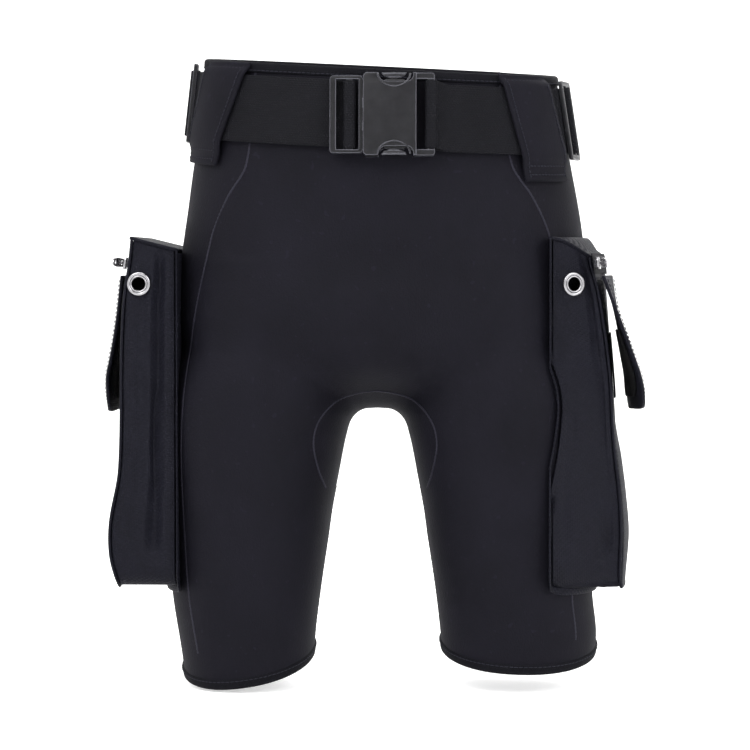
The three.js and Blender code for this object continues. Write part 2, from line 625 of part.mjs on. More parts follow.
function femaleBuckle() {
  const shape = new THREE.Shape();
  const tall = HALF_TALL + 0.4;
  const notch = 6.5;                     // thumb recess in the top and bottom edges
  const [n0, n1] = [PRONG_ROOT + 8, BODY_RIGHT - 2];
  shape.moveTo(BODY_LEFT, -tall + 2);
  shape.lineTo(BODY_LEFT + 2, -tall).lineTo(n0 - 1, -tall);
  shape.quadraticCurveTo(n0, -tall + notch, n0 + 5, -tall + notch).lineTo(n1 - 5, -tall + notch);
  shape.quadraticCurveTo(n1, -tall + notch, n1, -tall).lineTo(HALF_BUCKLE - 2, -tall);
  shape.quadraticCurveTo(HALF_BUCKLE, -tall, HALF_BUCKLE, -tall + 3).lineTo(HALF_BUCKLE, tall - 3);
  shape.quadraticCurveTo(HALF_BUCKLE, tall, HALF_BUCKLE - 2, tall).lineTo(n1, tall);
  shape.quadraticCurveTo(n1, tall - notch, n1 - 5, tall - notch).lineTo(n0 + 5, tall - notch);
  shape.quadraticCurveTo(n0, tall - notch, n0 - 1, tall).lineTo(BODY_LEFT + 2, tall);
  shape.lineTo(BODY_LEFT, tall - 2);
  const barLeft = FEMALE_BAR - BAR_WIDE / 2;
  const block = new THREE.ExtrudeGeometry(shape,
    { depth: BUCKLE_THICK, bevelEnabled: false, curveSegments: 4 });
  block.translate(0, 0, BUCKLE_MID - BUCKLE_THICK / 2);
  const [c0, c1] = [BUCKLE_MID - CAVITY / 2, BUCKLE_MID + CAVITY / 2];
  const slot = box(BODY_RIGHT, barLeft, -SLOT_HALF, SLOT_HALF, c0 - 9, c1 + 9);
  const mouth = box(BODY_LEFT - 5, BODY_RIGHT - 3, -PRONG_OUT - GAP, PRONG_OUT + GAP, c0, c1);
  const windows = box(n0 + 1, n1 - 1, -tall - 5, tall + 5, c0, c1);
  const thinEnd = [[c0 - 9, BUCKLE_MID - 3.2], [BUCKLE_MID + 3.2, c1 + 9]].map(
    ([a, b]) => box(BODY_RIGHT - 0.01, HALF_BUCKLE + 5, -tall - 5, tall + 5, a, b));
  const bar = [[c0 - 9, BUCKLE_MID - BAR_HALF], [BUCKLE_MID + BAR_HALF, c1 + 9]].map(
    ([a, b]) => box(barLeft - 0.01, HALF_BUCKLE + 5, -SLOT_HALF, SLOT_HALF, a, b));
  return cut(block, slot, mouth, windows, ...thinEnd, ...bar);
}

function triGlide() {
  const [a, b] = [GLIDE_LENGTH / 2, BAR_WIDE / 2 - 0.4];
  const w0 = BELT_OUT + 0.8;
  return slottedPlate(-a, a, HALF_TALL, [[-a + 4, -b], [b, a - 4]], w0, w0 + GLIDE_THICK);
}

// The webbing's end: up through one slot, over the glide's bar and down through the other.
function glideWrap(frame, way) {
  const w0 = BELT_OUT + 0.8;
  const half = BAR_WIDE / 2 - 0.4 + 2 * GAP + WEBBING / 2;
  const top = w0 + GLIDE_THICK + 2 * GAP + WEBBING / 2;
  const path = [[-GLIDE_LENGTH / 2 + 0.5, LAYER_2 - 0.4], [-half - 2.6, LAYER_2], [-half - 0.3, w0 + 0.4],
    [-half, w0 + 1.8], [-half + 0.2, top - 0.9], [-half + 1.1, top],
    [half - 1.1, top], [half - 0.2, top - 0.9],
    [half, w0 + 1.6], [half, w0 - 0.2], [half - 0.8, LAYER_2 + 0.1]];
  return ribbon(path.map(([x, w]) => frameMiddle(frame, way * x, w)));
}

// A neoprene strap sewn above and below the webbing, standing over it.
function beltLoop(s, slant) {
  const side = WEBBING_WIDTH / 2;
  const top = side + BELT_DROP - 1;
  const bottom = top - LOOP_HEIGHT;
  const low = BINDING + 3 * GAP;
  const high = BELT_OUT + 3 * GAP;
  const profile = [[top, low], [side + 5, low + 0.3], [side + 1, high], [8, high],
    [-8, high], [-side - 1, high],
    [-side - 9, low + 0.6], [bottom + 6, low], [bottom, low]];
  const across = [-0.5, -0.33, -0.16, 0, 0.16, 0.33, 0.5];
  const grid = (by) => profile.map(([v, w]) => across.map((k) =>
    beltPoint(s + k * LOOP_WIDTH + slant * (top - v), v, w + by)));
  return panel(grid(LOOP_THICK), grid(0));
}

// ---------------------------------------------------------------- the pockets
// Each pocket is laid out by y front to rear, z, and k from its back (0) to its outer face (1).
const pocketCurve = (stations) => through(stations, TALL, WIDE);
const POCKETS = {
  [-1]: {
    name: 'right', front: -68 * DEEP, turn: 0, baseFront: 146 * WIDE, baseRear: 144 * WIDE,
    eyeletAt: 0.74, flare: 10, roundTop: false,
    outFront: pocketCurve([[-131, 181], [-150, 183.5], [-176, 189], [-210, 193], [-305, 196],
      [-345, 202], [-370, 202], [-394, 197]]),
    outRear: pocketCurve([[-131, 181], [-160, 184], [-260, 190], [-364, 197], [-394, 190]]),
  },
  [1]: {
    name: 'left', front: -80 * DEEP, turn: 0.5, baseFront: 132 * WIDE, baseRear: 142 * WIDE,
    eyeletAt: 0.5, flare: 13, roundTop: true,
    outFront: pocketCurve([[-131, 161], [-150, 163.5], [-176, 170], [-231, 178], [-281, 181],
      [-341, 187], [-394, 186]]),
    outRear: pocketCurve([[-131, 177], [-165, 179], [-260, 186], [-293, 188], [-329, 192],
      [-360, 196], [-394, 192]]),
  },
};

function pocketShape(side) {
  const p = POCKETS[side];
  const rear = p.front + POCKET_DEPTH;
  const inner = (y, z) => {
    const start = V(MID + side * 0.3 * HIP_WIDTH, y, z);
    const body = castOut(start, V(side, 0, 0), HIP_WIDTH);
    const way = (y - p.front) / POCKET_DEPTH;
    return Math.max(Math.abs(body.x) + 7 * GAP, lerp(p.baseFront, p.baseRear, way));
  };
  const outer = (y, z) => {
    const way = clamp((y - p.front) / POCKET_DEPTH, 0, 1);
    const swell = 3 * clamp((POCKET_TOP - ZIP_DROP - FLAP_LENGTH - z) / 40, 0, 1);
    return lerp(p.outFront(z), p.outRear(z), way) + swell * Math.sin(Math.PI * way);
  };
  // A turned front face lies further back the further out it is.
  const shift = (y, out) => y + p.turn * out * clamp(1 - (y - p.front) / 60, 0, 1);
  const point = (y, z, k, extra = 0) => {
    const back = inner(y, z);
    const x = lerp(back, outer(y, z), k);
    return V(side * (x + extra), shift(y, x - back), z);
  };
  return { ...p, side, rear, point, inner, outer };
}

// The top falls away outwards as a quarter round, or lies flat and falls towards the body.
const topFall = (pocket, k) => POCKET_TOP
  - (pocket.roundTop ? POCKET_SLOPE * (1 - Math.cos(k * Math.PI / 2)) : POCKET_SAG * (1 - k));

// Front and rear limits of the pocket's outline at a height, round its lower corners.
function pocketSpan(pocket, z, inset) {
  const r = POCKET_CORNER;
  const above = z - (POCKET_BOTTOM + inset);
  const tuck = above < r ? r - Math.sqrt(Math.max(r * r - (r - above) ** 2, 0)) : 0;
  return [pocket.front + tuck + inset, pocket.rear - tuck - inset];
}

function pocketFace(pocket, k, thick) {
  const top = topFall(pocket, k) - FABRIC - TOP_ROOM;
  const corner = POCKET_BOTTOM + POCKET_CORNER;
  const heights = Array.from({ length: 10 }, (_, i) => lerp(top, corner, i / 9));
  heights.push(...[0.55, 0.8, 0.95].map((t) => lerp(corner, POCKET_BOTTOM, t)));
  const along = Array.from({ length: 13 }, (_, i) => i / 12);
  const grid = (extra) => heights.map((z) => {
    const [a, b] = pocketSpan(pocket, z, 0);
    return along.map((t) => pocket.point(lerp(a, b, t), z, k, extra));
  });
  return panel(grid(thick), grid(0));
}

// The band round the front, bottom and rear between the pocket's back and its outer face.
function pocketGusset(pocket) {
  const r = POCKET_CORNER;
  const [y0, y1, z0] = [pocket.front, pocket.rear, POCKET_BOTTOM];
  const arc = (cy, cz, from) => Array.from({ length: 4 }, (_, i) => {
    const turn = rad(from + (i + 0.5) * 22.5);
    return [cy + r * Math.cos(turn), cz + r * Math.sin(turn), Math.cos(turn), Math.sin(turn)];
  });
  const side = (y, out) => [0, 0.12, 0.25, 0.4, 0.55, 0.7, 0.85, 1].map((t) => [y, t, out]);
  const path = [
    ...side(y0, -1).map(([y, t, out]) => [y, t, out, 'side']),
    ...arc(y0 + r, z0 + r, 180),
    ...[0.1, 0.25, 0.4, 0.5, 0.6, 0.75, 0.9].map((t) => [lerp(y0 + r, y1 - r, t), z0, 0, -1]),
    ...arc(y1 - r, z0 + r, 270),
    ...side(y1, 1).reverse().map(([y, t, out]) => [y, t, out, 'side']),
  ];
  const across = [0, 0.33, 0.66, 1];
  const clear = FABRIC + 3 * GAP;
  // Across the band at k, keeping clear of the pocket's back and of its outer face.
  const across01 = (y, z, k, turned) => {
    const room = pocket.outer(y, z) - pocket.inner(y, z);
    return lerp((clear + 1.6 * WIDE + turned) / room, 1 - clear / room, k);
  };
  const grid = (by) => path.map(([y, z, ny, nz]) => across.map((k) => {
    const isSide = nz === 'side';
    const yy = y - by * ny;
    const turned = ny > 0.5 ? 0 : POCKET_TURN * pocket.turn;
    const here = isSide && ny < 0 ? turned * (0.25 + 0.75 * z) : turned;
    const high = topFall(pocket, across01(yy, POCKET_TOP - 5, k, turned)) - FABRIC - 3 * GAP - 0.4;
    const level = isSide ? lerp(high, z0 + r, z) : z - by * nz;
    return pocket.point(yy, level, across01(yy, level, k, here));
  }));
  return panel(grid(0), grid(FABRIC));
}

function pocketTop(pocket) {
  const across = [0, 0.2, 0.4, 0.6, 0.8, 1];
  const along = Array.from({ length: 13 }, (_, i) => i / 12);
  const grid = (by) => along.map((t) => across.map((k) => {
    const y = lerp(pocket.front, pocket.rear, t);
    const z = topFall(pocket, k);
    const rounding = pocket.roundTop ? k : 0;
    return pocket.point(y, z, k, -0.8 * by * Math.sin(rounding * Math.PI / 2))
      .add(V(0, 0, -by * (1 - 0.55 * rounding)));
  }));
  return panel(grid(0), grid(FABRIC));
}

// The frame on the pocket's outer face at t of its depth: x towards the rear, y down the face
// or up it, z out of the cloth.
function faceFrame(pocket, t, z, lift) {
  const at = (tt, level) => pocket.point(lerp(pocket.front, pocket.rear, tt), level, 1);
  const along = at(0.9, z).sub(at(0.1, z)).normalize();
  const down = at(t, z - 3).sub(at(t, z + 3));
  const out = along.clone().cross(down).normalize().multiplyScalar(-pocket.side);
  const y = out.clone().cross(along).normalize();
  return new THREE.Matrix4().makeBasis(along, y, out).setPosition(at(t, z).addScaledVector(out, lift));
}

const ZIP_Z = POCKET_TOP - ZIP_DROP;
const SLIDER_LENGTH = 13;
const SLIDER_AT = (SLIDER_LENGTH + 6) / POCKET_DEPTH;

function zipTeeth(pocket) {
  const frame = faceFrame(pocket, 0.5, ZIP_Z, 3 * GAP);
  const from = (0.06 - 0.5) * POCKET_DEPTH;
  const to = (0.94 - 0.5) * POCKET_DEPTH;
  const teeth = box(from, to, -ZIP_WIDTH / 2, ZIP_WIDTH / 2, 0, ZIP_THICK);
  return teeth.applyMatrix4(frame);
}

function sliderFrame(pocket) {
  const middle = faceFrame(pocket, 0.5, ZIP_Z, 4 * GAP + ZIP_THICK);
  return middle.multiply(new THREE.Matrix4().makeTranslation((SLIDER_AT - 0.5) * POCKET_DEPTH, 0, 0));
}

function zipSlider() {
  const l = SLIDER_LENGTH / 2;
  const shape = outline([[-l, -2.6], [-l + 2, -4.4], [l - 3, -4.4], [l, -2.2], [l, 2.2], [l - 3, 4.4],
    [-l + 2, 4.4], [-l, 2.6]]);
  const plate = new THREE.ExtrudeGeometry(shape, { depth: 2, bevelEnabled: false });
  const bridge = new THREE.ExtrudeGeometry(outline([[-4, 1.9], [-3.4, 4.6], [-2, 5.4], [2, 5.4], [3.4, 4.6],
    [4, 1.9], [2.6, 1.9], [2.2, 3.8], [-2.2, 3.8], [-2.6, 1.9]]), { depth: 2.4, bevelEnabled: false });
  bridge.rotateX(Math.PI / 2);
  bridge.translate(0, 1.2, 0);
  return surface(solid(plate).add(solid(bridge)));
}

// The pull: a ring end through the slider's bridge, and a flat tab that points forwards.
const PULL_PIVOT = 2.9;
const PULL_THICK = 1.2;
const PULL_LIFT = 14;                  // degrees up from the zip as it hangs
function zipPull() {
  const bar = PULL_THICK / 2;
  const tab = new THREE.Shape();
  tab.moveTo(bar, -3.1);
  tab.lineTo(bar, 3.1).lineTo(-10, 3.5).quadraticCurveTo(-22, 3.5, -22, 0);
  tab.quadraticCurveTo(-22, -3.5, -10, -3.5).lineTo(bar, -3.1);
  const plate = new THREE.ExtrudeGeometry(tab, { depth: PULL_THICK, bevelEnabled: false, curveSegments: 5 });
  plate.translate(0, 0, -bar);
  const ring = box(-5.2, -bar, -1.7, 1.7, -2, 2);
  const hole = new THREE.CylinderGeometry(1.7, 1.7, 4, 12);
  hole.rotateX(Math.PI / 2);
  hole.translate(-17.5, 0, 0);
  return cut(plate, ring, hole);
}

// The flap hangs from a line just under the zipped top and flares outwards.
const FLAP_Z = ZIP_Z - ZIP_WIDTH / 2 - 6;
function flapFrame(pocket) {
  const at = (t) => pocket.point(lerp(pocket.front, pocket.rear, t), FLAP_Z, 1);
  const y = at(0.9).sub(at(0.1)).normalize();
  const x = y.clone().cross(V(0, 0, 1)).normalize();
  const origin = at(0.5).addScaledVector(x, pocket.side * (4 * GAP + 2 * PATCH));
  const frame = new THREE.Matrix4().makeBasis(x, y, x.clone().cross(y)).setPosition(origin);
  return frame.multiply(new THREE.Matrix4().makeRotationY(-pocket.side * rad(pocket.flare)));
}

const flapOutline = (inset, top, length) => {
  const half = FLAP_WIDTH / 2 - inset;
  const low = -length + inset;
  return outline([[-half, -top], [half, -top], [half, low + 26], [half - 22, low],
    [-half + 22, low], [-half, low + 26]]);
};

// A plate across X whose outline is drawn in Y and Z.
function alongX(shape, x0, x1) {
  const geometry = new THREE.ExtrudeGeometry(shape, { depth: x1 - x0, bevelEnabled: false });
  geometry.applyMatrix4(new THREE.Matrix4().makeBasis(V(0, 1, 0), V(0, 0, 1), V(1, 0, 0)));
  geometry.translate(x0, 0, 0);
  return geometry;
}

function flap(side) {
  const edges = [0, side * FLAP_THICK].sort((a, b) => a - b);
  return alongX(flapOutline(0, 0, FLAP_LENGTH), ...edges);
}

function hookPatch(side) {
  const edges = [-side * GAP, -side * (GAP + PATCH)].sort((a, b) => a - b);
  return alongX(flapOutline(10, 42, FLAP_LENGTH), ...edges);
}

// Soft loop tape lying on the outer face where the hook tape lands.
function loopPatch(pocket) {
  const middle = pocket.front + 0.5 * POCKET_DEPTH;
  const heights = [FLAP_Z - 44, FLAP_Z - 66, FLAP_Z - 92];
  const along = [-1, -0.5, 0, 0.5, 1].map((t) => middle + t * (FLAP_WIDTH / 2 - 14));
  const grid = (extra) => heights.map((z) => along.map((y) => pocket.point(y, z, 1, 2 * GAP + extra)));
  return panel(grid(PATCH), grid(0));
}

// A rolled metal eyelet: a flat flange on each side of the cloth and a barrel through it.
function eyelet() {
  const half = FABRIC / 2 + 3 * GAP;
  const out = half + EYELET_FLANGE;
  const barrel = EYELET_BORE + EYELET_LIP;
  const profile = [[EYELET_BORE, -out + 0.5], [EYELET_BORE, out - 0.6], [EYELET_BORE + 0.6, out],
    [EYELET_RADIUS - 0.7, out], [EYELET_RADIUS, half + 0.2], [EYELET_RADIUS - 0.3, half], [barrel, half],
    [barrel, -half], [EYELET_RADIUS - 1, -half], [EYELET_RADIUS - 1.4, -out], [EYELET_BORE + 0.5, -out],
    [EYELET_BORE, -out + 0.5]];
  return new THREE.LatheGeometry(profile.reverse().map(([x, y]) => new THREE.Vector2(x, y)), 20);
}

// Where an eyelet sits in the gusset: y axis of the frame points out of the cloth.
function eyeletFrames(pocket) {
  const mid = pocket.point(pocket.front, POCKET_TOP - 35, pocket.eyeletAt);
  const normal = V(pocket.side * pocket.turn, -1, 0).normalize();
  const frontFace = frameAlong(mid.addScaledVector(normal, -FABRIC / 2), normal);
  const under = pocket.point(pocket.front + 46, POCKET_BOTTOM, 0.5);
  const bottomFace = frameAlong(under.add(V(0, 0, FABRIC / 2)), V(0, 0, -1));
  return { front: frontFace, drain: bottomFace };
}

function frameAlong(origin, way) {
  const turn = new THREE.Quaternion().setFromUnitVectors(V(0, 1, 0), way);
  return new THREE.Matrix4().compose(origin, turn, V(1, 1, 1));
}

const boreTool = (frame) => {
  const radius = EYELET_BORE + EYELET_LIP + GAP;
  const tool = new THREE.CylinderGeometry(radius, radius, 14, 20);
  tool.applyMatrix4(frame);
  return tool;
};

// ---------------------------------------------------------------- assembly
const group = new THREE.Group();
function place(name, geometry, material, frame = null) {
  const mesh = new THREE.Mesh(geometry, material);
  mesh.name = name;
  if (frame) frame.decompose(mesh.position, mesh.quaternion, mesh.scale);
  group.add(mesh);
}

const { frontPanel, rears, gusset } = panels();
place('front_panel', surface(frontPanel), neoprene);
place('right_rear_panel', surface(rears[0]), neoprene);
place('left_rear_panel', surface(rears[1]), neoprene);
place('crotch_gusset', surface(gusset), neoprene);
place('waist_binding', waistBinding(), binding);

place('belt_webbing', mainWebbing(), webbing);
place('buckle_strap', maleStrap(), webbing);
place('buckle_female', femaleBuckle(), plastic, buckleFrame);
place('buckle_male', maleBuckle(), plastic, buckleFrame);
place('buckle_prong_lower', prong(-1), plastic, buckleFrame);
place('buckle_prong_upper', prong(1), plastic, buckleFrame);

for (const side of [-1, 1]) {
  const pocket = pocketShape(side);
  const { name } = pocket;
  place(`${name}_leg_hem`, hemBinding(side), binding);

  const layout = LAYOUT[side];
  place(`${name}_front_loop`, beltLoop(layout.loop, layout.slant), neoprene);
  place(`${name}_rear_loop`, beltLoop(layout.rearLoop, 0), neoprene);
  place(`${name}_strap_return`, strapReturn(side), webbing);
  const glide = beltFrame(layout.glide);
  place(`${name}_glide`, triGlide(), plastic, glide);
  place(`${name}_glide_wrap`, glideWrap(glide, side), webbing);

  const eyelets = eyeletFrames(pocket);
  place(`${name}_pocket_back`, pocketFace(pocket, 0, FABRIC), cloth);
  place(`${name}_pocket_face`, pocketFace(pocket, 1, -FABRIC), cloth);
  place(`${name}_pocket_gusset`, cut(pocketGusset(pocket), ...Object.values(eyelets).map(boreTool)), cloth);
  place(`${name}_pocket_top`, pocketTop(pocket), cloth);
  place(`${name}_front_eyelet`, eyelet(), nickel, eyelets.front);
  place(`${name}_drain_eyelet`, eyelet(), nickel, eyelets.drain);

  place(`${name}_zip_teeth`, zipTeeth(pocket), plastic);
  const slider = sliderFrame(pocket);
  place(`${name}_zip_slider`, zipSlider(), nickel, slider);
  const pull = slider.clone().multiply(new THREE.Matrix4().makeTranslation(0, 0, PULL_PIVOT));
  pull.multiply(new THREE.Matrix4().makeRotationY(rad(PULL_LIFT)));
  place(`${name}_zip_pull`, zipPull(), nickel, pull);

  const hinge = flapFrame(pocket);
  place(`${name}_flap`, flap(side), cloth, hinge);
  place(`${name}_flap_hook`, hookPatch(side), hook, hinge);
  place(`${name}_loop_patch`, loopPatch(pocket), hook);
}

export default group;
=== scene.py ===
"""Neoprene diving shorts with a webbing weight belt and two bellows thigh pockets.

Lengths are worked out in millimetres in the CAD frame (+Z up, the front faces -Y, +X is the
wearer's left) and go into the meshes as metres.
"""

import bmesh
import bpy
import numpy as np
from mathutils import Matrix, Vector


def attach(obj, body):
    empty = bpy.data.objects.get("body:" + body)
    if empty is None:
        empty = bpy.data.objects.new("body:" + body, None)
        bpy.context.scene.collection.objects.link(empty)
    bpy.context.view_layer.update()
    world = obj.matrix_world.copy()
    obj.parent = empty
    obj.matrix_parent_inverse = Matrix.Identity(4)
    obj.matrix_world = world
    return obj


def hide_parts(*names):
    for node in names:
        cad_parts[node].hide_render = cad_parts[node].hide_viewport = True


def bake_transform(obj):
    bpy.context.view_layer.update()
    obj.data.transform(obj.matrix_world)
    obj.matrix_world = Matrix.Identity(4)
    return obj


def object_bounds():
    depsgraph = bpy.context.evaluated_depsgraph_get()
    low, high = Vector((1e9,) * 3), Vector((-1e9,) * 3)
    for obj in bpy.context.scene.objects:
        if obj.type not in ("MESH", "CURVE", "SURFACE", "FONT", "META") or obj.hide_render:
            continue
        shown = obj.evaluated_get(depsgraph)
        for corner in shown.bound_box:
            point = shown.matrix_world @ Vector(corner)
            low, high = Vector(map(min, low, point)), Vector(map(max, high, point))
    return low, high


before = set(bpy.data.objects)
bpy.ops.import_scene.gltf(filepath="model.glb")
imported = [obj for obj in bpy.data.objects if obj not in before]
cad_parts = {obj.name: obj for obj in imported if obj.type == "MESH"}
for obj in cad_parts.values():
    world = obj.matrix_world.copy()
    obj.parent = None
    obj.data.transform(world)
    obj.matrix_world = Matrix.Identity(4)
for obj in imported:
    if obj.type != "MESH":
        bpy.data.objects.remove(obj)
CAD_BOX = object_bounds()

# ---------------------------------------------------------------- sizes shared with the CAD
HIP_WIDTH, BODY_DEPTH, LENGTH, RISE = 330, 240, 484, 262
NEOPRENE, BINDING, BINDING_HEIGHT = 3.6, 0.8, 8
GAP = 0.3
WEBBING_WIDTH, WEBBING, LIE, BELT_DROP = 50, 1.5, 1.1, 10
LOOP_WIDTH, LOOP_HEIGHT, LOOP_THICK = 44, 78, 3.2
BUCKLE_X, BUCKLE_LENGTH, BUCKLE_THICK, BUCKLE_RIM = 5, 77, 13, 5
GLIDE_LENGTH, GLIDE_THICK = 27, 3
FABRIC = 1.5
POCKET_TOP, POCKET_BOTTOM, POCKET_DEPTH, POCKET_CORNER = -0.2707 * LENGTH, -0.814 * LENGTH, 148, 18
POCKET_SLOPE, POCKET_SAG = 14, 9
EYELET_BORE = 5
ZIP_DROP, ZIP_WIDTH = 20, 6
FLAP_LENGTH, FLAP_WIDTH, FLAP_THICK, PATCH = 104, 116, 2.6, 1.4
LAYOUT = {-1: dict(loop=-120, slant=-0.33, glide=-184, rear=-292),
          1: dict(loop=116, slant=0.2, glide=168, rear=292)}
SIDES = {-1: "right", 1: "left"}
MID = 0.006 * HIP_WIDTH
BELT_Z = -BELT_DROP - WEBBING_WIDTH / 2
LAYER_1 = LIE + WEBBING / 2
LAYER_2 = LAYER_1 + WEBBING + GAP
BELT_OUT = LAYER_2 + WEBBING / 2
BUCKLE_MID = 1 + BUCKLE_THICK / 2
HALF_BUCKLE = BUCKLE_LENGTH / 2
MALE_BAR, FEMALE_BAR = 14.5 - HALF_BUCKLE, HALF_BUCKLE - 2.6
JOIN = 130
BAR_HALF, BAR_WIDE = 1.6, 5
ZIP_Z = POCKET_TOP - ZIP_DROP
FLAP_Z = ZIP_Z - ZIP_WIDTH / 2 - 6


# ---------------------------------------------------------------- arrays
def mix(a, b, t):
    """a at t = 0 and b at t = 1."""
    return a + (b - a) * t


def ease(t):
    """0 to 1 with level ends: 3t^2 - 2t^3, held outside."""
    t = np.clip(t, 0, 1)
    return t * t * (3 - 2 * t)


def hump(x, half):
    """1 at x = 0, falling to 0 at half on each side."""
    return ease(1 - np.abs(x) / half)


def unit(v):
    """Vectors scaled to length one."""
    return v / np.maximum(np.linalg.norm(v, axis=-1, keepdims=True), 1e-9)


def stack(*parts):
    """Coordinates of one shape joined as points."""
    return np.stack(np.broadcast_arrays(*parts), -1).astype(float)


def through(stations, places=1, values=1):
    """A smooth curve through (place, value) stations: cubic spans whose end slopes are the chords
    between the neighbouring stations."""
    at = np.array(stations, float) * (places, values)
    sign = 1 if at[1, 0] > at[0, 0] else -1
    at[:, 0] *= sign
    last = len(at) - 1
    low, high = np.maximum(np.arange(last + 1) - 1, 0), np.minimum(np.arange(last + 1) + 1, last)
    slope = (at[high, 1] - at[low, 1]) / (at[high, 0] - at[low, 0])

    def curve(x):
        x = sign * np.asarray(x, float)
        i = np.clip(np.searchsorted(at[:, 0], x, side="right") - 1, 0, last - 1)
        step = at[i + 1, 0] - at[i, 0]
        t = np.clip((x - at[i, 0]) / step, 0, 1)
        t2, t3 = t * t, t * t * t
        return ((2 * t3 - 3 * t2 + 1) * at[i, 1] + (t3 - 2 * t2 + t) * step * slope[i]
                + (3 * t2 - 2 * t3) * at[i + 1, 1] + (t3 - t2) * step * slope[i + 1])

    return curve


def lengths(points):
    """Distance walked along a run of points, from 0."""
    steps = np.linalg.norm(np.diff(points, axis=0), axis=-1)
    return np.concatenate([[0], np.cumsum(steps)])


def resample(points, count):
    """count + 1 points evenly spaced along a run."""
    walked = lengths(points)
    want = np.linspace(0, walked[-1], count + 1)
    return np.stack([np.interp(want, walked, points[:, k]) for k in range(points.shape[1])], -1)


def rounded(points, step):
    """A run of points carried on to a smooth curve: each coordinate goes through() the distance
    walked, read every step."""
    walked = lengths(points[:, :3])
    want = np.linspace(0, walked[-1], max(2, int(walked[-1] / step)) + 1)
    return np.stack([through(np.stack([walked, points[:, k]], -1))(want)
                     for k in range(points.shape[1])], -1)


# ---------------------------------------------------------------- the wearer's form
leg_gap = through([[-0.42, 8], [-0.541, 18], [-0.568, 22], [-0.6, 26], [-0.65, 30.5], [-0.7, 35],
                   [-0.745, 38], [-0.83, 44], [-0.91, 48.5], [-1, 50]], LENGTH, HIP_WIDTH / 330)
REACH = {
    -1: through([[0, 0.394], [-0.124, 0.415], [-0.27, 0.447], [-0.45, 0.485], [-0.6, 0.498],
                 [-0.745, 0.484], [-0.83, 0.473], [-0.92, 0.454], [-1, 0.436]], LENGTH, HIP_WIDTH),
    1: through([[0, 0.416], [-0.124, 0.445], [-0.27, 0.483], [-0.45, 0.514], [-0.6, 0.516],
                [-0.745, 0.509], [-0.83, 0.506], [-0.9, 0.515], [-1, 0.496]], LENGTH, HIP_WIDTH),
}
front_edge = through([[0, 0.408], [-0.124, 0.433], [-0.25, 0.448], [-0.37, 0.455], [-0.475, 0.42],
                      [-0.58, 0.383], [-0.72, 0.342], [-0.83, 0.317], [-1, 0.296]], LENGTH, -BODY_DEPTH)
back_edge = through([[0, 0.383], [-0.124, 0.417], [-0.25, 0.492], [-0.37, 0.53], [-0.475, 0.475],
                     [-0.58, 0.375], [-0.72, 0.3], [-0.83, 0.258], [-1, 0.238]], LENGTH, BODY_DEPTH)
HEM = {-1: (-0.944 * LENGTH, 0.14, 0.18), 1: (-0.921 * LENGTH, -0.03, 0.18)}
WAIST_TILT = (-0.05, 0.07)


def smooth_min(a, b, k):
    """The smaller of a and b, rounded where they are within k of each other."""
    h = np.maximum(k - np.abs(a - b), 0) / k
    return np.minimum(a, b) - h * h * k / 4


def outside_section(x, y, x0, x1, y0, y1, power):
    """Roughly how far outside a superellipse between four edges a point lies."""
    a, b = (x1 - x0) / 2, (y1 - y0) / 2
    u, v = np.abs((x - (x0 + x1) / 2) / a), np.abs((y - (y0 + y1) / 2) / b)
    return ((u ** power + v ** power) ** (1 / power) - 1) * np.minimum(a, b)


def outside_ball(p, centre, radii):
    """Roughly how far outside an ellipsoid a point lies."""
    return (np.linalg.norm((p - centre) / radii, axis=-1) - 1) * min(radii)


def outside(p):
    """Signed distance, roughly, from the worn form: a tapering trunk with a curved floor, two
    legs, the seat and the belly, all run together."""
    x, y, z = p[..., 0], p[..., 1], p[..., 2]
    taper = mix(1, 0.6, ease((-z - 0.72 * RISE) / (0.3 * RISE)))
    y0, y1 = front_edge(z), back_edge(z)
    trunk = outside_section(x, y, MID - (MID + REACH[-1](z)) * taper, MID + (REACH[1](z) - MID) * taper,
                            y0, y1, 2.35)
    floor = -RISE + y * y / 170 - z
    out = -smooth_min(-trunk, -floor, 20)
    for side in SIDES:
        inner = MID + side * leg_gap(z)
        outer = side * (REACH[side](z) - 9 * ease((z + 0.95 * RISE) / (0.35 * RISE)))
        leg = outside_section(x, y, np.minimum(inner, outer), np.maximum(inner, outer), y0, y1, 2.15)
        leg = leg + 16 * ease((z + 1.02 * RISE) / (0.42 * RISE)) * ease((30 - y) / 60)
        out = smooth_min(out, np.maximum(leg, z + 0.6 * RISE), 14)
        seat = np.array([MID + side * 0.2 * HIP_WIDTH, 0.29 * BODY_DEPTH, -0.7 * RISE])
        out = smooth_min(out, outside_ball(p, seat, (72, 62, 78)), 30)
    belly = np.array([MID, -0.27 * BODY_DEPTH, -0.74 * RISE])
    return smooth_min(out, outside_ball(p, belly, (60, 50, 40)), 24)


def form_normal(p):
    """The slope of outside(), as a direction out of the form."""
    e = 0.5 * np.eye(3)
    return unit(np.stack([outside(p + k) - outside(p - k) for k in e], -1))


def cast(start, way, reach):
    """Where a ray from inside the form leaves it, by halving."""
    near, far = np.zeros(start.shape[:-1]), np.broadcast_to(reach, start.shape[:-1]).astype(float)
    for _ in range(30):
        half = (near + far) / 2
        within = outside(start + way * half[..., None]) < 0
        near, far = np.where(within, half, near), np.where(within, far, half)
    return start + way * far[..., None]


_y = np.arange(-0.2 * BODY_DEPTH, 0.25 * BODY_DEPTH, 1.0)
_low = cast(stack(MID, _y, -0.75 * RISE), np.array([0, 0, -1.0]), RISE)
CROTCH = _low[np.argmin(_low[:, 2])]


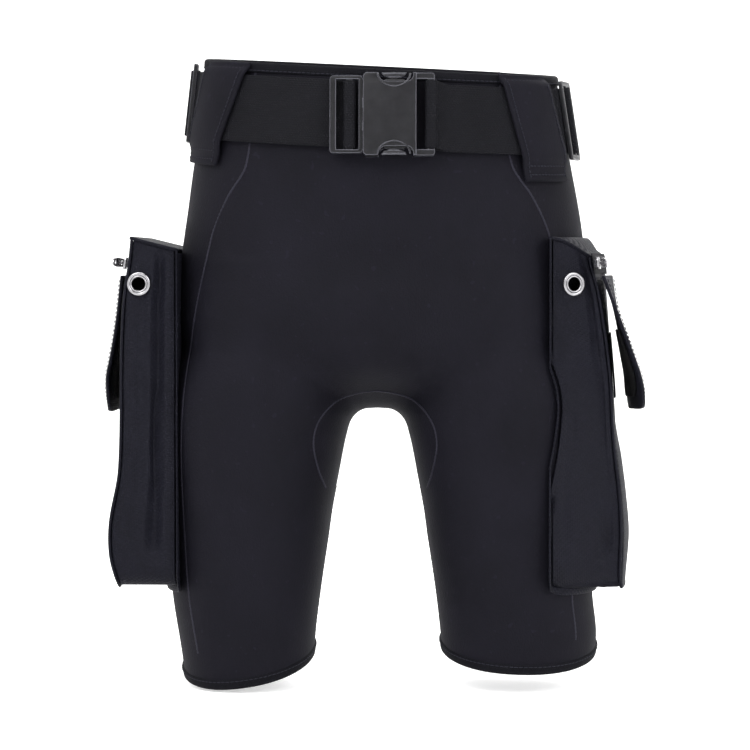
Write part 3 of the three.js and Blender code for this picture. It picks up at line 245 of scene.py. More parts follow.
def lean(level, side):
    """How rows tilt: with the waist edge near the top and with the hem near the bottom."""
    hem_z, hem_x, hem_y = HEM[side]
    waist = np.clip(1 + level / (0.3 * RISE), 0, 1)
    hem = np.clip((CROTCH[2] - 10 - level) / (CROTCH[2] - 10 - hem_z), 0, 1) ** 2
    middle = MID + side * (leg_gap(hem_z) + REACH[side](hem_z)) / 2
    return (waist * WAIST_TILT[0] + hem * hem_x, waist * WAIST_TILT[1] + hem * hem_y,
            level - hem * hem_x * middle)


def cast_row(from_x, from_y, angle, row, side=0):
    """Rays across the form that stay on their leaning row; from a side they stop at the middle."""
    wx, wy = np.cos(angle), np.sin(angle)
    way = stack(wx, wy, row[0] * wx + row[1] * wy)
    start = stack(from_x + 0 * wx, from_y, row[2] + row[0] * from_x + row[1] * from_y + 0 * wx)
    inward = -side * wx
    limit = np.where(inward > 1e-6, (from_x - MID) * side / np.where(inward > 1e-6, inward, 1), HIP_WIDTH)
    return cast(start, way, np.minimum(limit, HIP_WIDTH))


def half_rows(levels, side, columns, rays=200):
    """One side's outline at each level, as (rows, columns + 1) points: from the front middle round
    the outside to the back middle, and below the crotch right round the leg from its inseam."""
    row = lean(levels, side)
    centre = MID + side * (leg_gap(-RISE) + 0.5 * HIP_WIDTH) / 2
    above = levels >= CROTCH[2]
    begin = stack(MID, CROTCH[1], row[2] + row[0] * MID + row[1] * CROTCH[1] + 1e-4)
    ends = [cast(begin, stack(0, way, way * row[1]), BODY_DEPTH) for way in (-1, 1)]
    turn = [np.where(above, np.arctan2(e[:, 1] - CROTCH[1], (e[:, 0] - centre) * -side), 0) for e in ends]
    k = np.linspace(0, 1, rays + 1)
    turns = mix(turn[0][:, None], turn[1][:, None] - 2 * np.pi, k)
    points = cast_row(centre, CROTCH[1], turns if side < 0 else np.pi - turns,
                      [r[:, None] for r in row], side)
    points[above, 0], points[above, -1] = ends[0][above], ends[1][above]
    points[~above, -1] = points[~above, 0]
    return np.stack([resample(p, columns) for p in points])


# ---------------------------------------------------------------- meshes
def grid_faces(index):
    """The four-sided faces of a grid of vertex numbers."""
    return np.stack([index[:-1, :-1], index[:-1, 1:], index[1:, 1:], index[1:, :-1]], -1).reshape(-1, 4)


def weld(points, faces, tolerance=1e-3):
    """Points closer than the tolerance made one, and the faces numbered to match."""
    keys = np.round(points / tolerance).astype(np.int64)
    _, first, number = np.unique(keys, axis=0, return_index=True, return_inverse=True)
    faces = number.ravel()[faces]
    return first, faces


def volume(points, faces):
    """Signed volume inside closed faces."""
    a = points[faces[:, 0]]
    total = 0
    for i in range(1, faces.shape[1] - 1):
        total += np.einsum("ij,ij->i", a, np.cross(points[faces[:, i]], points[faces[:, i + 1]])).sum()
    return total / 6


def piece(name, points, faces, material, body="root", replaces=(), slot=None, uv=None, sharp=None):
    """A mesh in the CAD frame from points in millimetres, made one where they touch, its faces
    turned outwards, moving with a body."""
    points = points.reshape(-1, 3)
    first, faces = weld(points, np.asarray(faces))
    if volume(points[first], faces) < 0:
        faces = faces[:, ::-1]
    uv = None if uv is None else uv.reshape(-1, 2)[first]
    faces = [list(dict.fromkeys(f)) for f in faces.tolist()]
    faces = [f for f in faces if len(f) > 2]
    used, renumbered = np.unique(np.concatenate(faces), return_inverse=True)
    sizes = np.cumsum([0] + [len(f) for f in faces])
    renumbered = renumbered.ravel()
    faces = [renumbered[a:b].tolist() for a, b in zip(sizes[:-1], sizes[1:])]
    mesh = bpy.data.meshes.new(name)
    mesh.from_pydata((points[first][used] / 1000).tolist(), [], faces)
    mesh.polygons.foreach_set("use_smooth", [True] * len(mesh.polygons))
    if sharp:
        mesh.set_sharp_from_angle(angle=np.radians(sharp))
    if uv is not None:
        corner = np.empty(len(mesh.loops), np.int32)
        mesh.loops.foreach_get("vertex_index", corner)
        mesh.uv_layers.new(name="weave").data.foreach_set("uv", uv[used][corner].ravel())
    return dress(bpy.data.objects.new(name, mesh), material, body, replaces)


def dress(obj, material, body, replaces):
    """Gives a new object its finish, its body and the CAD nodes that it stands for."""
    if obj.name not in bpy.context.scene.collection.objects:
        bpy.context.scene.collection.objects.link(obj)
    obj.data.materials.clear()
    obj.data.materials.append(material)
    if body:
        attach(obj, body)
    if replaces:
        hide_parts(*replaces)
    return obj


def edged(length, step, edge):
    """Places from 0 to 1 along a length, close together within the rounded edge at each end."""
    near = np.array([0, 0.05, 0.2, 0.45, 0.75]) * edge
    middle = np.linspace(edge, length - edge, max(2, int(length / step)))
    return np.concatenate([near, middle, length - near[::-1]]) / length


def plate(name, surface, size, thick, material, step=4, edge=None, **rest):
    """A sheet of cloth or plastic with rounded edges. surface(u, v) gives its middle; its half
    thickness rises from the rim as a quarter of an ellipse. UV counts centimetres along it."""
    edge = edge or thick / 2
    u, v = np.meshgrid(edged(size[0], step, edge), edged(size[1], step, edge), indexing="ij")
    middle = surface(u, v)
    across = [np.gradient(middle, axis=k) for k in (0, 1)]
    normal = unit(np.cross(*across))
    walked = [np.cumsum(np.linalg.norm(np.diff(middle, axis=k, prepend=middle.take([0], k)), axis=-1), k)
              for k in (0, 1)]
    from_rim = np.minimum.reduce([walked[0], walked[0][-1:] - walked[0],
                                  walked[1], walked[1][:, -1:] - walked[1]])
    half = thick / 2 * np.sqrt(1 - (1 - np.clip(from_rim / edge, 0, 1)) ** 2)
    points = np.stack([middle + normal * half[..., None], middle - normal * half[..., None]])
    index = np.arange(points[..., 0].size).reshape(points.shape[:3])
    rim = np.ones(u.shape, bool)
    rim[1:-1, 1:-1] = False
    index[1][rim] = index[0][rim]
    faces = np.concatenate([grid_faces(index[0]), grid_faces(index[1])[:, ::-1]])
    uv = np.stack([walked[0], walked[1]], -1) / 10
    return piece(name, points, faces, material, uv=np.stack([uv, uv]), **rest)


def ring_section(width, thick, corner):
    """A flat bar's outline: rows of (across, out) round a rectangle with elliptical ends."""
    a = np.linspace(-width / 2 + corner, width / 2 - corner, 15)
    turn = np.linspace(-np.pi / 2, np.pi / 2, 7)[1:-1]
    end = np.stack([width / 2 - corner + corner * np.cos(turn), thick / 2 * np.sin(turn)], -1)
    top = np.stack([a[::-1], np.full(15, thick / 2)], -1)
    return np.concatenate([np.stack([a, np.full(15, -thick / 2)], -1), end, top, -end])


def swept(name, path, across, section, material, closed=False, **rest):
    """A section of (across, out) carried along a path, where out is square to the path and to
    across. UV counts centimetres along and across."""
    around = np.roll(path, -1, 0) - np.roll(path, 1, 0)
    along = unit(around if closed else np.gradient(path, axis=0))
    out = unit(np.cross(along, across))
    rows = path[:, None] + section[:, :1] * across[:, None] + section[:, 1:] * out[:, None]
    index = np.arange(rows[..., 0].size).reshape(rows.shape[:2])
    index = np.concatenate([index, index[:, :1]], 1)
    if closed:
        index = np.concatenate([index, index[:1]])
    faces = grid_faces(index)
    uv = np.stack(np.broadcast_arrays(lengths(path)[:, None], section[:, 0]), -1) / 10
    count = len(section)
    if not closed:
        cap = [[k, k + 1, count - 2 - k, count - 1 - k] for k in range(count // 2 - 1)]
        cap = np.array(cap)
        faces = np.concatenate([faces, cap[:, ::-1], cap + index[-1, 0]])
    return piece(name, rows, faces, material, uv=uv, **rest)


def stitches(name, runs, material, pitch=3.4, radius=0.32, lift=0.15, body="root", slot=None):
    """Sewing thread: along each run of (points, outward directions), short capsules sunk at both
    ends. Each one is three six-sided rings, thickest in the middle."""
    points, faces, base = [], [], 0
    for path, out in runs:
        walked = lengths(path)
        count = max(1, int(walked[-1] / pitch))
        middle = (np.arange(count) + 0.5) * walked[-1] / count
        at = np.stack([np.interp(middle, walked, path[:, k]) for k in range(3)], -1)
        tip = np.stack([np.interp(middle + 0.5, walked, path[:, k]) for k in range(3)], -1)
        up = unit(np.stack([np.interp(middle, walked, out[:, k]) for k in range(3)], -1))
        along = unit(tip - at)
        side = np.cross(along, up)
        place = np.array([-0.42, -0.3, 0, 0.3, 0.42]) * pitch
        size = np.array([0.35, 0.8, 1, 0.8, 0.35]) * radius
        height = np.array([-0.5, 0.2, 0.6, 0.2, -0.5]) * radius + lift
        turn = np.arange(6) * np.pi / 3
        ring = (at[:, None, None] + along[:, None, None] * place[:, None, None]
                + up[:, None, None] * (height[:, None] + size[:, None] * np.sin(turn))[..., None]
                + side[:, None, None] * (size[:, None] * np.cos(turn))[..., None])
        index = np.arange(ring[..., 0].size).reshape(ring.shape[:3]) + base
        loop = np.concatenate([index, index[:, :, :1]], 2)
        walls = np.stack([loop[:, :-1, :-1], loop[:, :-1, 1:], loop[:, 1:, 1:], loop[:, 1:, :-1]], -1)
        faces.append(walls.reshape(-1, 4))
        for ring_at, order in ((0, (0, 1, 2, 3)), (0, (0, 3, 4, 5)), (4, (3, 2, 1, 0)), (4, (5, 4, 3, 0))):
            faces.append(index[:, ring_at][:, list(order)][:, ::-1])
        points.append(ring.reshape(-1, 3))
        base += ring[..., 0].size
    return piece(name, np.concatenate(points), np.concatenate(faces), material, body=body, slot=slot)


# ---------------------------------------------------------------- finishes
def rgb(code):
    """An sRGB hex colour as linear red, green, blue and alpha."""
    c = np.array([int(code[i:i + 2], 16) for i in (1, 3, 5)]) / 255
    c = np.where(c <= 0.04045, c / 12.92, ((c + 0.055) / 1.055) ** 2.4)
    return (*c.tolist(), 1.0)


def add(tree, kind, settings=None, **sockets):
    """Adds a node. Settings are its own properties; each socket, named or as s0, s1..., takes a
    value or a link from another node's socket."""
    node = tree.nodes.new("ShaderNode" + kind)
    for key, value in (settings or {}).items():
        setattr(node, key, value)
    for key, value in sockets.items():
        plain = key[1:].isdigit() and key[0] == "s"
        socket = node.inputs[int(key[1:]) if plain else key.replace("_", " ")]
        if isinstance(value, bpy.types.NodeSocket):
            tree.links.new(value, socket)
        else:
            socket.default_value = value
    return node


def sums(tree, operation, a, b=0.0, c=0.0):
    """One arithmetic node's result."""
    return add(tree, "Math", {"operation": operation}, s0=a, s1=b, s2=c).outputs[0]


def material(name, **shader):
    """A new node material and its shader's own settings."""
    made = bpy.data.materials.new(name)
    made.use_nodes = True
    tree = made.node_tree
    bsdf = tree.nodes["Principled BSDF"]
    for key, value in shader.items():
        bsdf.inputs[key.replace("_", " ")].default_value = value
    return made, tree, bsdf


def two_tone(tree, bsdf, factor, dark, light):
    """Base colour mixed from dark to light by a factor."""
    ramp = add(tree, "Mix", {"data_type": "RGBA"}, s0=factor, s6=rgb(dark), s7=rgb(light))
    tree.links.new(ramp.outputs[2], bsdf.inputs["Base Color"])


def bump(tree, bsdf, height, depth_mm, strength=1.0):
    """Surface relief from a height of 0 to 1 that stands for a depth in millimetres."""
    relief = add(tree, "Bump", Strength=strength, Distance=depth_mm / 1000, Height=height)
    tree.links.new(relief.outputs[0], bsdf.inputs["Normal"])


def noise(tree, vector, size_mm, detail=3.0, roughness=0.6):
    """Noise whose features are about size_mm across, on Object coordinates."""
    return add(tree, "TexNoise", Vector=vector, Scale=1000 / size_mm, Detail=detail,
               Roughness=roughness).outputs[0]


def knit_neoprene():
    """Foamed rubber faced with nylon jersey: a soft matt black-violet with a fine knitted grain,
    cloudy where it is rubbed, with a little lint."""
    made, tree, bsdf = material("neoprene_nylon_jersey", Roughness=0.72, Sheen_Weight=0.006,
                                Sheen_Roughness=0.5, Specular_IOR_Level=0.07)
    bsdf.inputs["Sheen Tint"].default_value = rgb("#a8a6c0")
    where = add(tree, "TexCoord").outputs["Object"]
    cloud = noise(tree, where, 70, 4)
    grain = noise(tree, where, 1.6, 2, 0.7)             # knit loops, drawn coarse enough to show
    stretched = add(tree, "Mapping", Vector=where, Scale=(1, 1, 0.35)).outputs[0]
    rib = noise(tree, stretched, 1.1, 1)
    tone = sums(tree, "MULTIPLY_ADD", grain, 0.35, sums(tree, "MULTIPLY", cloud, 0.65))
    lint = sums(tree, "GREATER_THAN", noise(tree, where, 4.5, 0), 0.795)
    two_tone(tree, bsdf, sums(tree, "MULTIPLY_ADD", lint, 0.6, tone), "#040406", "#14131b")
    height = sums(tree, "ADD", sums(tree, "MULTIPLY", grain, 0.5), sums(tree, "MULTIPLY", rib, 0.5))
    bump(tree, bsdf, height, 0.5, 0.7)
    return made


def woven_tape(name, dark, light, rib_mm, pitch_mm, depth=0.35, rough=0.66, flecks=0.25):
    """Narrow woven nylon: columns of warp rib_mm wide, each broken every pitch_mm and half a
    step from its neighbour, on the piece's own centimetre UV."""
    made, tree, bsdf = material(name, Roughness=rough, Sheen_Weight=0.004, Sheen_Roughness=0.4,
                                Specular_IOR_Level=0.05)
    bsdf.inputs["Sheen Tint"].default_value = rgb("#b0b0bc")
    uv = add(tree, "SeparateXYZ", s0=add(tree, "UVMap", {"uv_map": "weave"}).outputs[0])
    column = sums(tree, "MULTIPLY", uv.outputs[1], 10 / rib_mm)
    number = sums(tree, "FLOOR", column)
    across = sums(tree, "ABSOLUTE", sums(tree, "SINE", sums(tree, "MULTIPLY", column, np.pi)))
    along = sums(tree, "MULTIPLY_ADD", uv.outputs[0], 10 / pitch_mm, sums(tree, "MULTIPLY", number, 0.5))
    knuckle = sums(tree, "ABSOLUTE", sums(tree, "SINE", sums(tree, "MULTIPLY", along, np.pi)))
    height = sums(tree, "MULTIPLY", sums(tree, "POWER", across, 0.6), sums(tree, "POWER", knuckle, 0.5))
    where = add(tree, "TexCoord").outputs["Object"]
    wear = noise(tree, where, 30, 4)
    fine = noise(tree, where, 1.2, 1)
    tone = sums(tree, "MULTIPLY_ADD", height, 0.45, sums(tree, "MULTIPLY_ADD", fine, flecks,
                                                         sums(tree, "MULTIPLY", wear, 0.3)))
    two_tone(tree, bsdf, tone, dark, light)
    bump(tree, bsdf, height, depth, 0.8)
    return made


def pack_cloth():
    """Coated oxford nylon: plain weave, thread over thread, slightly blue-grey with pale flecks
    where the light catches a thread. The 1 mm pitch is drawn at 1.9 mm so that it shows."""
    made, tree, bsdf = material("pocket_oxford_nylon", Roughness=0.6, Sheen_Weight=0.004,
                                Sheen_Roughness=0.45, Specular_IOR_Level=0.06)
    bsdf.inputs["Sheen Tint"].default_value = rgb("#b4b6c8")
    uv = add(tree, "SeparateXYZ", s0=add(tree, "UVMap", {"uv_map": "weave"}).outputs[0])
    a, b = [sums(tree, "MULTIPLY", uv.outputs[k], 10 / 1.9) for k in (0, 1)]
    over = sums(tree, "PINGPONG", sums(tree, "ADD", sums(tree, "FLOOR", a), sums(tree, "FLOOR", b)), 1.0)
    ridge = [sums(tree, "ABSOLUTE", sums(tree, "SINE", sums(tree, "MULTIPLY", k, np.pi))) for k in (a, b)]
    height = add(tree, "Mix", s0=over, s2=ridge[0], s3=ridge[1]).outputs[0]
    where = add(tree, "TexCoord").outputs["Object"]
    thread = noise(tree, where, 2.4, 2, 0.8)
    wear = noise(tree, where, 40, 5)
    tone = sums(tree, "MULTIPLY_ADD", height, 0.25, sums(tree, "MULTIPLY_ADD", thread, 0.5,
                                                         sums(tree, "MULTIPLY", wear, 0.35)))
    two_tone(tree, bsdf, sums(tree, "SUBTRACT", tone, 0.1), "#030304", "#1a1a23")
    bump(tree, bsdf, sums(tree, "MULTIPLY_ADD", thread, 0.4, height), 0.35, 0.7)
    return made


def moulded_acetal():
    """Injection-moulded acetal: black, half gloss, with a fine spark-eroded texture on its faces,
    and a painted highlight that lightens the base colour along the rounded edges."""
    made, tree, bsdf = material("moulded_acetal", Roughness=0.3, Specular_IOR_Level=0.15)
    where = add(tree, "TexCoord").outputs["Object"]
    fine = noise(tree, where, 0.9, 2)
    scuff = noise(tree, where, 9, 5, 0.7)
    tree.links.new(sums(tree, "MULTIPLY_ADD", scuff, 0.25, 0.2), bsdf.inputs["Roughness"])
    edge = add(tree, "Bevel", {"samples": 4}, Radius=0.0012)
    facing = add(tree, "VectorMath", {"operation": "DOT_PRODUCT"}, s0=edge.outputs[0],
                 s1=add(tree, "NewGeometry").outputs["Normal"])
    # painted highlight: the base colour is lightened where the rounded edges turn, standing in for the shine
    # on the edges
    painted_edge_highlight = sums(tree, "MULTIPLY", sums(tree, "SUBTRACT", 1.0, facing.outputs["Value"]), 3.2)
    tone = sums(tree, "MINIMUM", sums(tree, "MULTIPLY_ADD", scuff, 0.1, painted_edge_highlight), 1.0)
    two_tone(tree, bsdf, tone, "#030304", "#686870")
    bump(tree, bsdf, fine, 0.06, 0.5)
    return made


def plated_nickel():
    """Nickel-plated brass, polished, with faint rub marks and slightly warm grey."""
    made, tree, bsdf = material("nickel_plated_brass", Metallic=1.0, Roughness=0.2)
    where = add(tree, "TexCoord").outputs["Object"]
    rub = noise(tree, where, 3, 4, 0.7)
    two_tone(tree, bsdf, rub, "#6f6e72", "#aaa9ab")
    tree.links.new(sums(tree, "MULTIPLY_ADD", rub, 0.22, 0.1), bsdf.inputs["Roughness"])
    bump(tree, bsdf, rub, 0.03, 0.4)
    return made


def touch_tape(name, dark, light, size_mm):
    """Hook or loop fastening: a matt pile of nylon hooks or fuzz."""
    made, tree, bsdf = material(name, Roughness=0.92, Sheen_Weight=0.01, Specular_IOR_Level=0.08)
    where = add(tree, "TexCoord").outputs["Object"]
    pile = add(tree, "TexVoronoi", Vector=where, Scale=1000 / size_mm).outputs[0]
    fuzz = noise(tree, where, size_mm, 4, 0.8)
    two_tone(tree, bsdf, sums(tree, "MULTIPLY", fuzz, pile), dark, light)
    bump(tree, bsdf, sums(tree, "ADD", pile, fuzz), 0.6, 0.9)
    return made


def thread_finish(name, dark, light):
    """Bonded nylon thread: a soft twisted shine."""
    made, tree, bsdf = material(name, Roughness=0.7, Specular_IOR_Level=0.1)
    twist = noise(tree, add(tree, "TexCoord").outputs["Object"], 0.8, 1)
    two_tone(tree, bsdf, twist, dark, light)
    return made


NEO = knit_neoprene()
TAPE = woven_tape("edge_binding_tape", "#040405", "#121217", 1.3, 1.5, 0.2, 0.75)
WEB = woven_tape("nylon_webbing", "#030304", "#17171b", 1.7, 2.3)
CLOTH = pack_cloth()
PLASTIC = moulded_acetal()
NICKEL = plated_nickel()
HOOK = touch_tape("hook_tape", "#030304", "#0e0e11", 1.4)
LOOP = touch_tape("loop_tape", "#050506", "#15151a", 2.2)
THREAD = thread_finish("bonded_nylon_thread", "#121217", "#2a2a33")
SEAM_THREAD = thread_finish("flatlock_seam_thread", "#141319", "#282731")


# ---------------------------------------------------------------- the shorts
def body_levels(side):
    """Row heights from under the waist tape to inside the hem tape, close at the crotch."""
    trunk = np.linspace(-4, -230, 84)
    arch = CROTCH[2] + (np.linspace(70, 0, 20) ** 2) / 170
    hem = HEM[side][0] + 4
    legs = mix(CROTCH[2], hem, np.linspace(0, 1, 76)[1:] ** 1.35)
    return np.concatenate([trunk, arch, legs])


def shorts_shell():
    """The neoprene: each side's rows, kept on the form with under half a millimetre of waviness,
    as an outer and an inner skin joined at the waist and the hems."""
    points, faces, base = [], [], 0
    for side in SIDES:
        rows = half_rows(body_levels(side), side, 104)
        normal = form_normal(rows)
        x, y, z = rows[..., 0], rows[..., 1], rows[..., 2]
        wave = np.sin(x / 23 + z / 41) * np.sin(z / 19 - y / 37) + np.sin(z / 9 + x / 31 + y / 17) * 0.4
        skin = [rows - normal * (0.25 + 0.22 * wave)[..., None], rows - normal * NEOPRENE]
        index = np.arange(rows[..., 0].size * 2).reshape(2, *rows.shape[:2]) + base
        block = [grid_faces(index[0]), grid_faces(index[1])[:, ::-1]]
        block += [grid_faces(np.stack([index[1, 0], index[0, 0]])),
                  grid_faces(np.stack([index[0, -1], index[1, -1]]))]
        block = np.concatenate(block)
        faces.append(block if side < 0 else block[:, ::-1])
        points += [s.reshape(-1, 3) for s in skin]
        base += rows[..., 0].size * 2
    points = np.concatenate(points)
    return piece("shorts_neoprene", points, np.concatenate(faces), NEO, slot="neoprene",
                 replaces=("front_panel", "right_rear_panel", "left_rear_panel", "crotch_gusset"))


def on_form(x, z, way, y=None):
    """Points of the form straight in front of (way -1) or behind (+1) a line inside it."""
    start = stack(x, CROTCH[1] if y is None else y, z)
    return cast(start, np.array([0, way, 0.0]), BODY_DEPTH)


def seam_ridges(runs):
    """A flatlock seam along each run: a low rounded ridge 1.7 mm wide that swells and sinks with
    the stitches."""
    turn = np.linspace(0, np.pi, 6)
    points, faces, base = [], [], 0
    for path in runs:
        path = rounded(path, 1.1)
        normal = form_normal(path)
        side = unit(np.cross(np.gradient(path, axis=0), normal))
        beat = 1 + 0.22 * np.sin(lengths(path) * 2 * np.pi / 3.3)
        rows = (path[:, None] + side[:, None] * (0.95 * beat[:, None] * np.cos(turn))[..., None]
                + normal[:, None] * (0.42 * beat[:, None] * np.sin(turn) - 0.32)[..., None])
        index = np.arange(rows[..., 0].size).reshape(rows.shape[:2]) + base
        index = np.concatenate([index, index[:, :1]], 1)
        faces += [grid_faces(index), index[0, :-1][[[0, 1, 4, 5], [1, 2, 3, 4]]],
                  index[-1, :-1][[[5, 4, 1, 0], [4, 3, 2, 1]]]]
        points.append(rows.reshape(-1, 3))
        base += rows[..., 0].size
    return piece("seam_thread", np.concatenate(points), np.concatenate(faces), SEAM_THREAD, slot="neoprene")


def body_seams():
    """The lines where panels meet: side fronts, seat, inseams and round the crotch gusset."""
    inset = through([[0, 44], [-0.16, 46], [-0.21, 35], [-0.27, 27], [-0.42, 22], [-0.62, 20],
                     [-0.86, 17], [-1.1, 22]], LENGTH)
    gusset = rounded(np.array([[0, 0, 0], [14, -2, 0], [30, -8, 0], [42, -22, 0], [46, -38, 0], [43, -58, 0],
                               [38, -74, 0]], float), 2)
    runs = []
    for side in SIDES:
        z = np.linspace(-9, HEM[side][0] + 12, 120)
        runs.append(on_form(side * (REACH[side](z) - inset(z)), z, -1))
        z = np.linspace(CROTCH[2] - 60, HEM[side][0] + 10, 50)
        inside = stack(MID + side * 100, CROTCH[1], z)
        runs.append(cast(inside, np.array([-side, 0, 0.0]), 99))
    for way in (-1, 1):
        arch = np.concatenate([gusset[::-1] * (-1, 1, 1), gusset[1:]])
        x, z = MID + arch[:, 0], CROTCH[2] + 15 + arch[:, 1]
        runs.append(on_form(x, z, way)[outside(stack(x, CROTCH[1], z)) < -1.5])
    z = np.linspace(-9, CROTCH[2] + 20, 90)
    runs.append(on_form(MID, z, 1))
    return seam_ridges(runs)


def edge_tape(name, rows, down, node):
    """A folded tape over an edge. Its section is a tall loop, round over the edge, carried round
    the row; down gives the way along the garment from the edge."""
    normal = form_normal(rows)
    half = NEOPRENE / 2 + BINDING
    turn = np.linspace(0, np.pi, 9)
    over = np.stack([half * np.cos(turn), 2.4 - 2.4 * np.sin(turn)], -1)
    legs = np.array([[-half, 4.5], [-half + 0.1, 7.2], [-half + 0.8, 8], [half - 0.8, 8], [half - 0.1, 7.2],
                     [half, 4.5]])
    section = np.concatenate([over, legs])
    middle = rows - normal * (NEOPRENE / 2)
    points = (middle[:, None] + normal[:, None] * section[:, 0][:, None]
              + down[:, None] * section[:, 1][:, None])
    index = np.arange(points[..., 0].size).reshape(points.shape[:2])
    index = np.concatenate([index, index[:, :1]], 1)
    index = np.concatenate([index, index[:1]])
    uv = np.stack(np.broadcast_arrays(lengths(rows)[:, None], section[:, 1] + section[:, 0]), -1) / 10
    piece(name, points, grid_faces(index), TAPE, uv=uv, replaces=(node,), slot="binding")
    line = rows + down * 6.3
    return (np.concatenate([line, line[:1]]) + np.concatenate([normal, normal[:1]]) * BINDING,
            np.concatenate([normal, normal[:1]]))


def edges():
    """The waist and hem tapes with a row of top stitching on each."""
    level = np.array([0.0, -BINDING_HEIGHT])
    both = {side: half_rows(level, side, 150) for side in SIDES}
    loop = np.concatenate([both[-1], both[1][:, 1:-1][:, ::-1]], 1)
    runs = [edge_tape("waist_tape", loop[0], unit(loop[1] - loop[0]), "waist_binding")]
    for side, name in SIDES.items():
        rows = half_rows(np.array([HEM[side][0], HEM[side][0] + BINDING_HEIGHT]), side, 130)[:, :-1]
        runs.append(edge_tape(f"{name}_hem_tape", rows[0], unit(rows[1] - rows[0]), f"{name}_leg_hem"))
    stitches("edge_stitching", runs, THREAD, pitch=3.6, radius=0.36, slot="binding")


# ---------------------------------------------------------------- the belt
WAIST_X = (REACH[1](0) - REACH[-1](0)) / 2


def on_belt_line(angle, v):
    """The form where a leaning plane v above the belt's middle cuts it, at an angle round."""
    return cast_row(WAIST_X, 0, angle - np.pi / 2, (WAIST_TILT[0], WAIST_TILT[1], BELT_Z + v))


RING_ANGLE = np.radians(np.arange(-180, 181))
RING = on_belt_line(RING_ANGLE, 0)
RING_AT = lengths(RING) - lengths(RING)[180]
RING_LENGTH = RING_AT[-1] - RING_AT[0]


def belt_point(s, v, w):
    """A point s along the belt line, v up and w out from the neoprene."""
    s = (np.asarray(s, float) - RING_AT[0]) % RING_LENGTH + RING_AT[0]
    s, v, w = np.broadcast_arrays(s, v, w)
    p = on_belt_line(np.interp(s, RING_AT, RING_ANGLE), np.asarray(v, float))
    return p + form_normal(p) * w[..., None]


def belt_frame(s):
    """The flat frame that touches the belt line: its origin and its x, y and z ways as rows."""
    origin = belt_point(s, 0, 0)
    z = form_normal(origin)
    y = unit(np.array([0, 0, 1.0]) - z * z[2])
    return origin, np.stack([np.cross(y, z), y, z])


def in_frame(at, points):
    """Points of a flat frame in the CAD frame."""
    return at[0] + np.asarray(points, float) @ at[1]


BUCKLE = belt_frame(BUCKLE_X)


def belt_run(start, end, w):
    """Middle points of webbing along the belt line, each with its up way."""
    s = np.linspace(start, end, max(2, int(abs(end - start) / 5) + 1))
    p = belt_point(s, 0, w)
    return np.concatenate([p, unit(belt_point(s, 10, w) - belt_point(s, -10, w))], -1)


def frame_run(at, places):
    """Middle points of webbing at (x, w) in a flat frame, each with the frame's up way."""
    p = in_frame(at, [(x, 0, w) for x, w in places])
    return np.concatenate([p, np.broadcast_to(at[1][1], p.shape)], -1)


def fold_round(bar, way, start_at):
    """Webbing that comes in on the outer layer, goes round a bar and runs back underneath."""
    start = BUCKLE_X + bar + way * 13
    top = BUCKLE_MID + BAR_HALF + 2 * GAP + WEBBING / 2
    far = BAR_WIDE / 2 + 2 * GAP + WEBBING / 2
    arc = [(way * (far + 2.4), LAYER_2 - 0.4), (way * (far + 0.4), BUCKLE_MID - 2.3), (way * far, BUCKLE_MID),
           (way * (far - 0.2), top - 0.9), (way * (far - 1.1), top), (0, top + 0.15),
           (-way * (far - 1.1), top),
           (-way * (far - 0.2), top - 0.9), (-way * far, BUCKLE_MID), (-way * (far + 0.1), BUCKLE_MID - 2.9),
           (-way * (far - 0.6), LAYER_1 + 0.9), (-way * (far - 2.6), LAYER_1 + 0.1)]
    return np.concatenate([belt_run(start_at, start, LAYER_2),
                           frame_run(BUCKLE, [(bar + x, w) for x, w in arc]),
                           belt_run(start, start_at, LAYER_1)])


def webbing(name, run, nodes, body="root", step=1.0):
    """Nylon webbing along a run of middle points and up ways, with soft selvedges."""
    run = rounded(run, step)
    keep = np.concatenate([[True], np.linalg.norm(np.diff(run[:, :3], axis=0), axis=-1) > 1e-4])
    run = run[keep]
    section = ring_section(WEBBING_WIDTH, WEBBING, 0.8)
    return swept(name, run[:, :3], unit(run[:, 3:]), section, WEB, body=body, replaces=nodes, slot="webbing")


def belt():
    """The long webbing, the male half's folded strap and the two tails round their tri-glides."""
    fold = fold_round(FEMALE_BAR, 1, JOIN)[::-1]
    rest = RING_LENGTH - 2 * JOIN - GAP
    around = belt_run(-JOIN - GAP, -JOIN - GAP - rest + 3, LAYER_1)
    webbing("belt_webbing_run", np.concatenate([around, fold[1:]]), ("belt_webbing",), step=1.6)
    strap = webbing("buckle_strap_fold", fold_round(MALE_BAR, -1, -JOIN), ("buckle_strap",), body=None)
    start, end = belt_point(-JOIN + 12, 0, 2) / 1000, in_frame(BUCKLE, (MALE_BAR - 12, 0, 3)) / 1000
    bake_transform(strap)
    for side, name in SIDES.items():
        glide_at = LAYOUT[side]["glide"]
        glide = belt_frame(glide_at)
        w0 = BELT_OUT + 0.8
        half = BAR_WIDE / 2 - 0.4 + 2 * GAP + WEBBING / 2
        top = w0 + GLIDE_THICK + 2 * GAP + WEBBING / 2
        wrap = [(-GLIDE_LENGTH / 2 - 1, LAYER_2), (-half - 5, LAYER_2), (-half - 2.2, LAYER_2 + 0.3),
                (-half - 0.3, w0 + 0.4), (-half, w0 + 1.8), (-half + 0.2, top - 0.9), (-half + 1.1, top),
                (half - 1.1, top), (half - 0.2, top - 0.9), (half, w0 + 1.6), (half, w0 - 0.2),
                (half - 0.8, LAYER_2 + 0.1)]
        tail = belt_run(side * (JOIN + GAP), side * (abs(glide_at) - GLIDE_LENGTH / 2 - 2), LAYER_2)
        run = np.concatenate([tail, frame_run(glide, [(side * x, w) for x, w in wrap])])
        obj = webbing(f"{name}_strap_tail", run, (f"{name}_strap_return", f"{name}_glide_wrap"), body=None)
        a = belt_point(side * (JOIN + 10), 0, LAYER_2) / 1000
        b = belt_point(side * (abs(glide_at) - GLIDE_LENGTH / 2 - 3), 0, LAYER_2) / 1000
        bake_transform(obj)


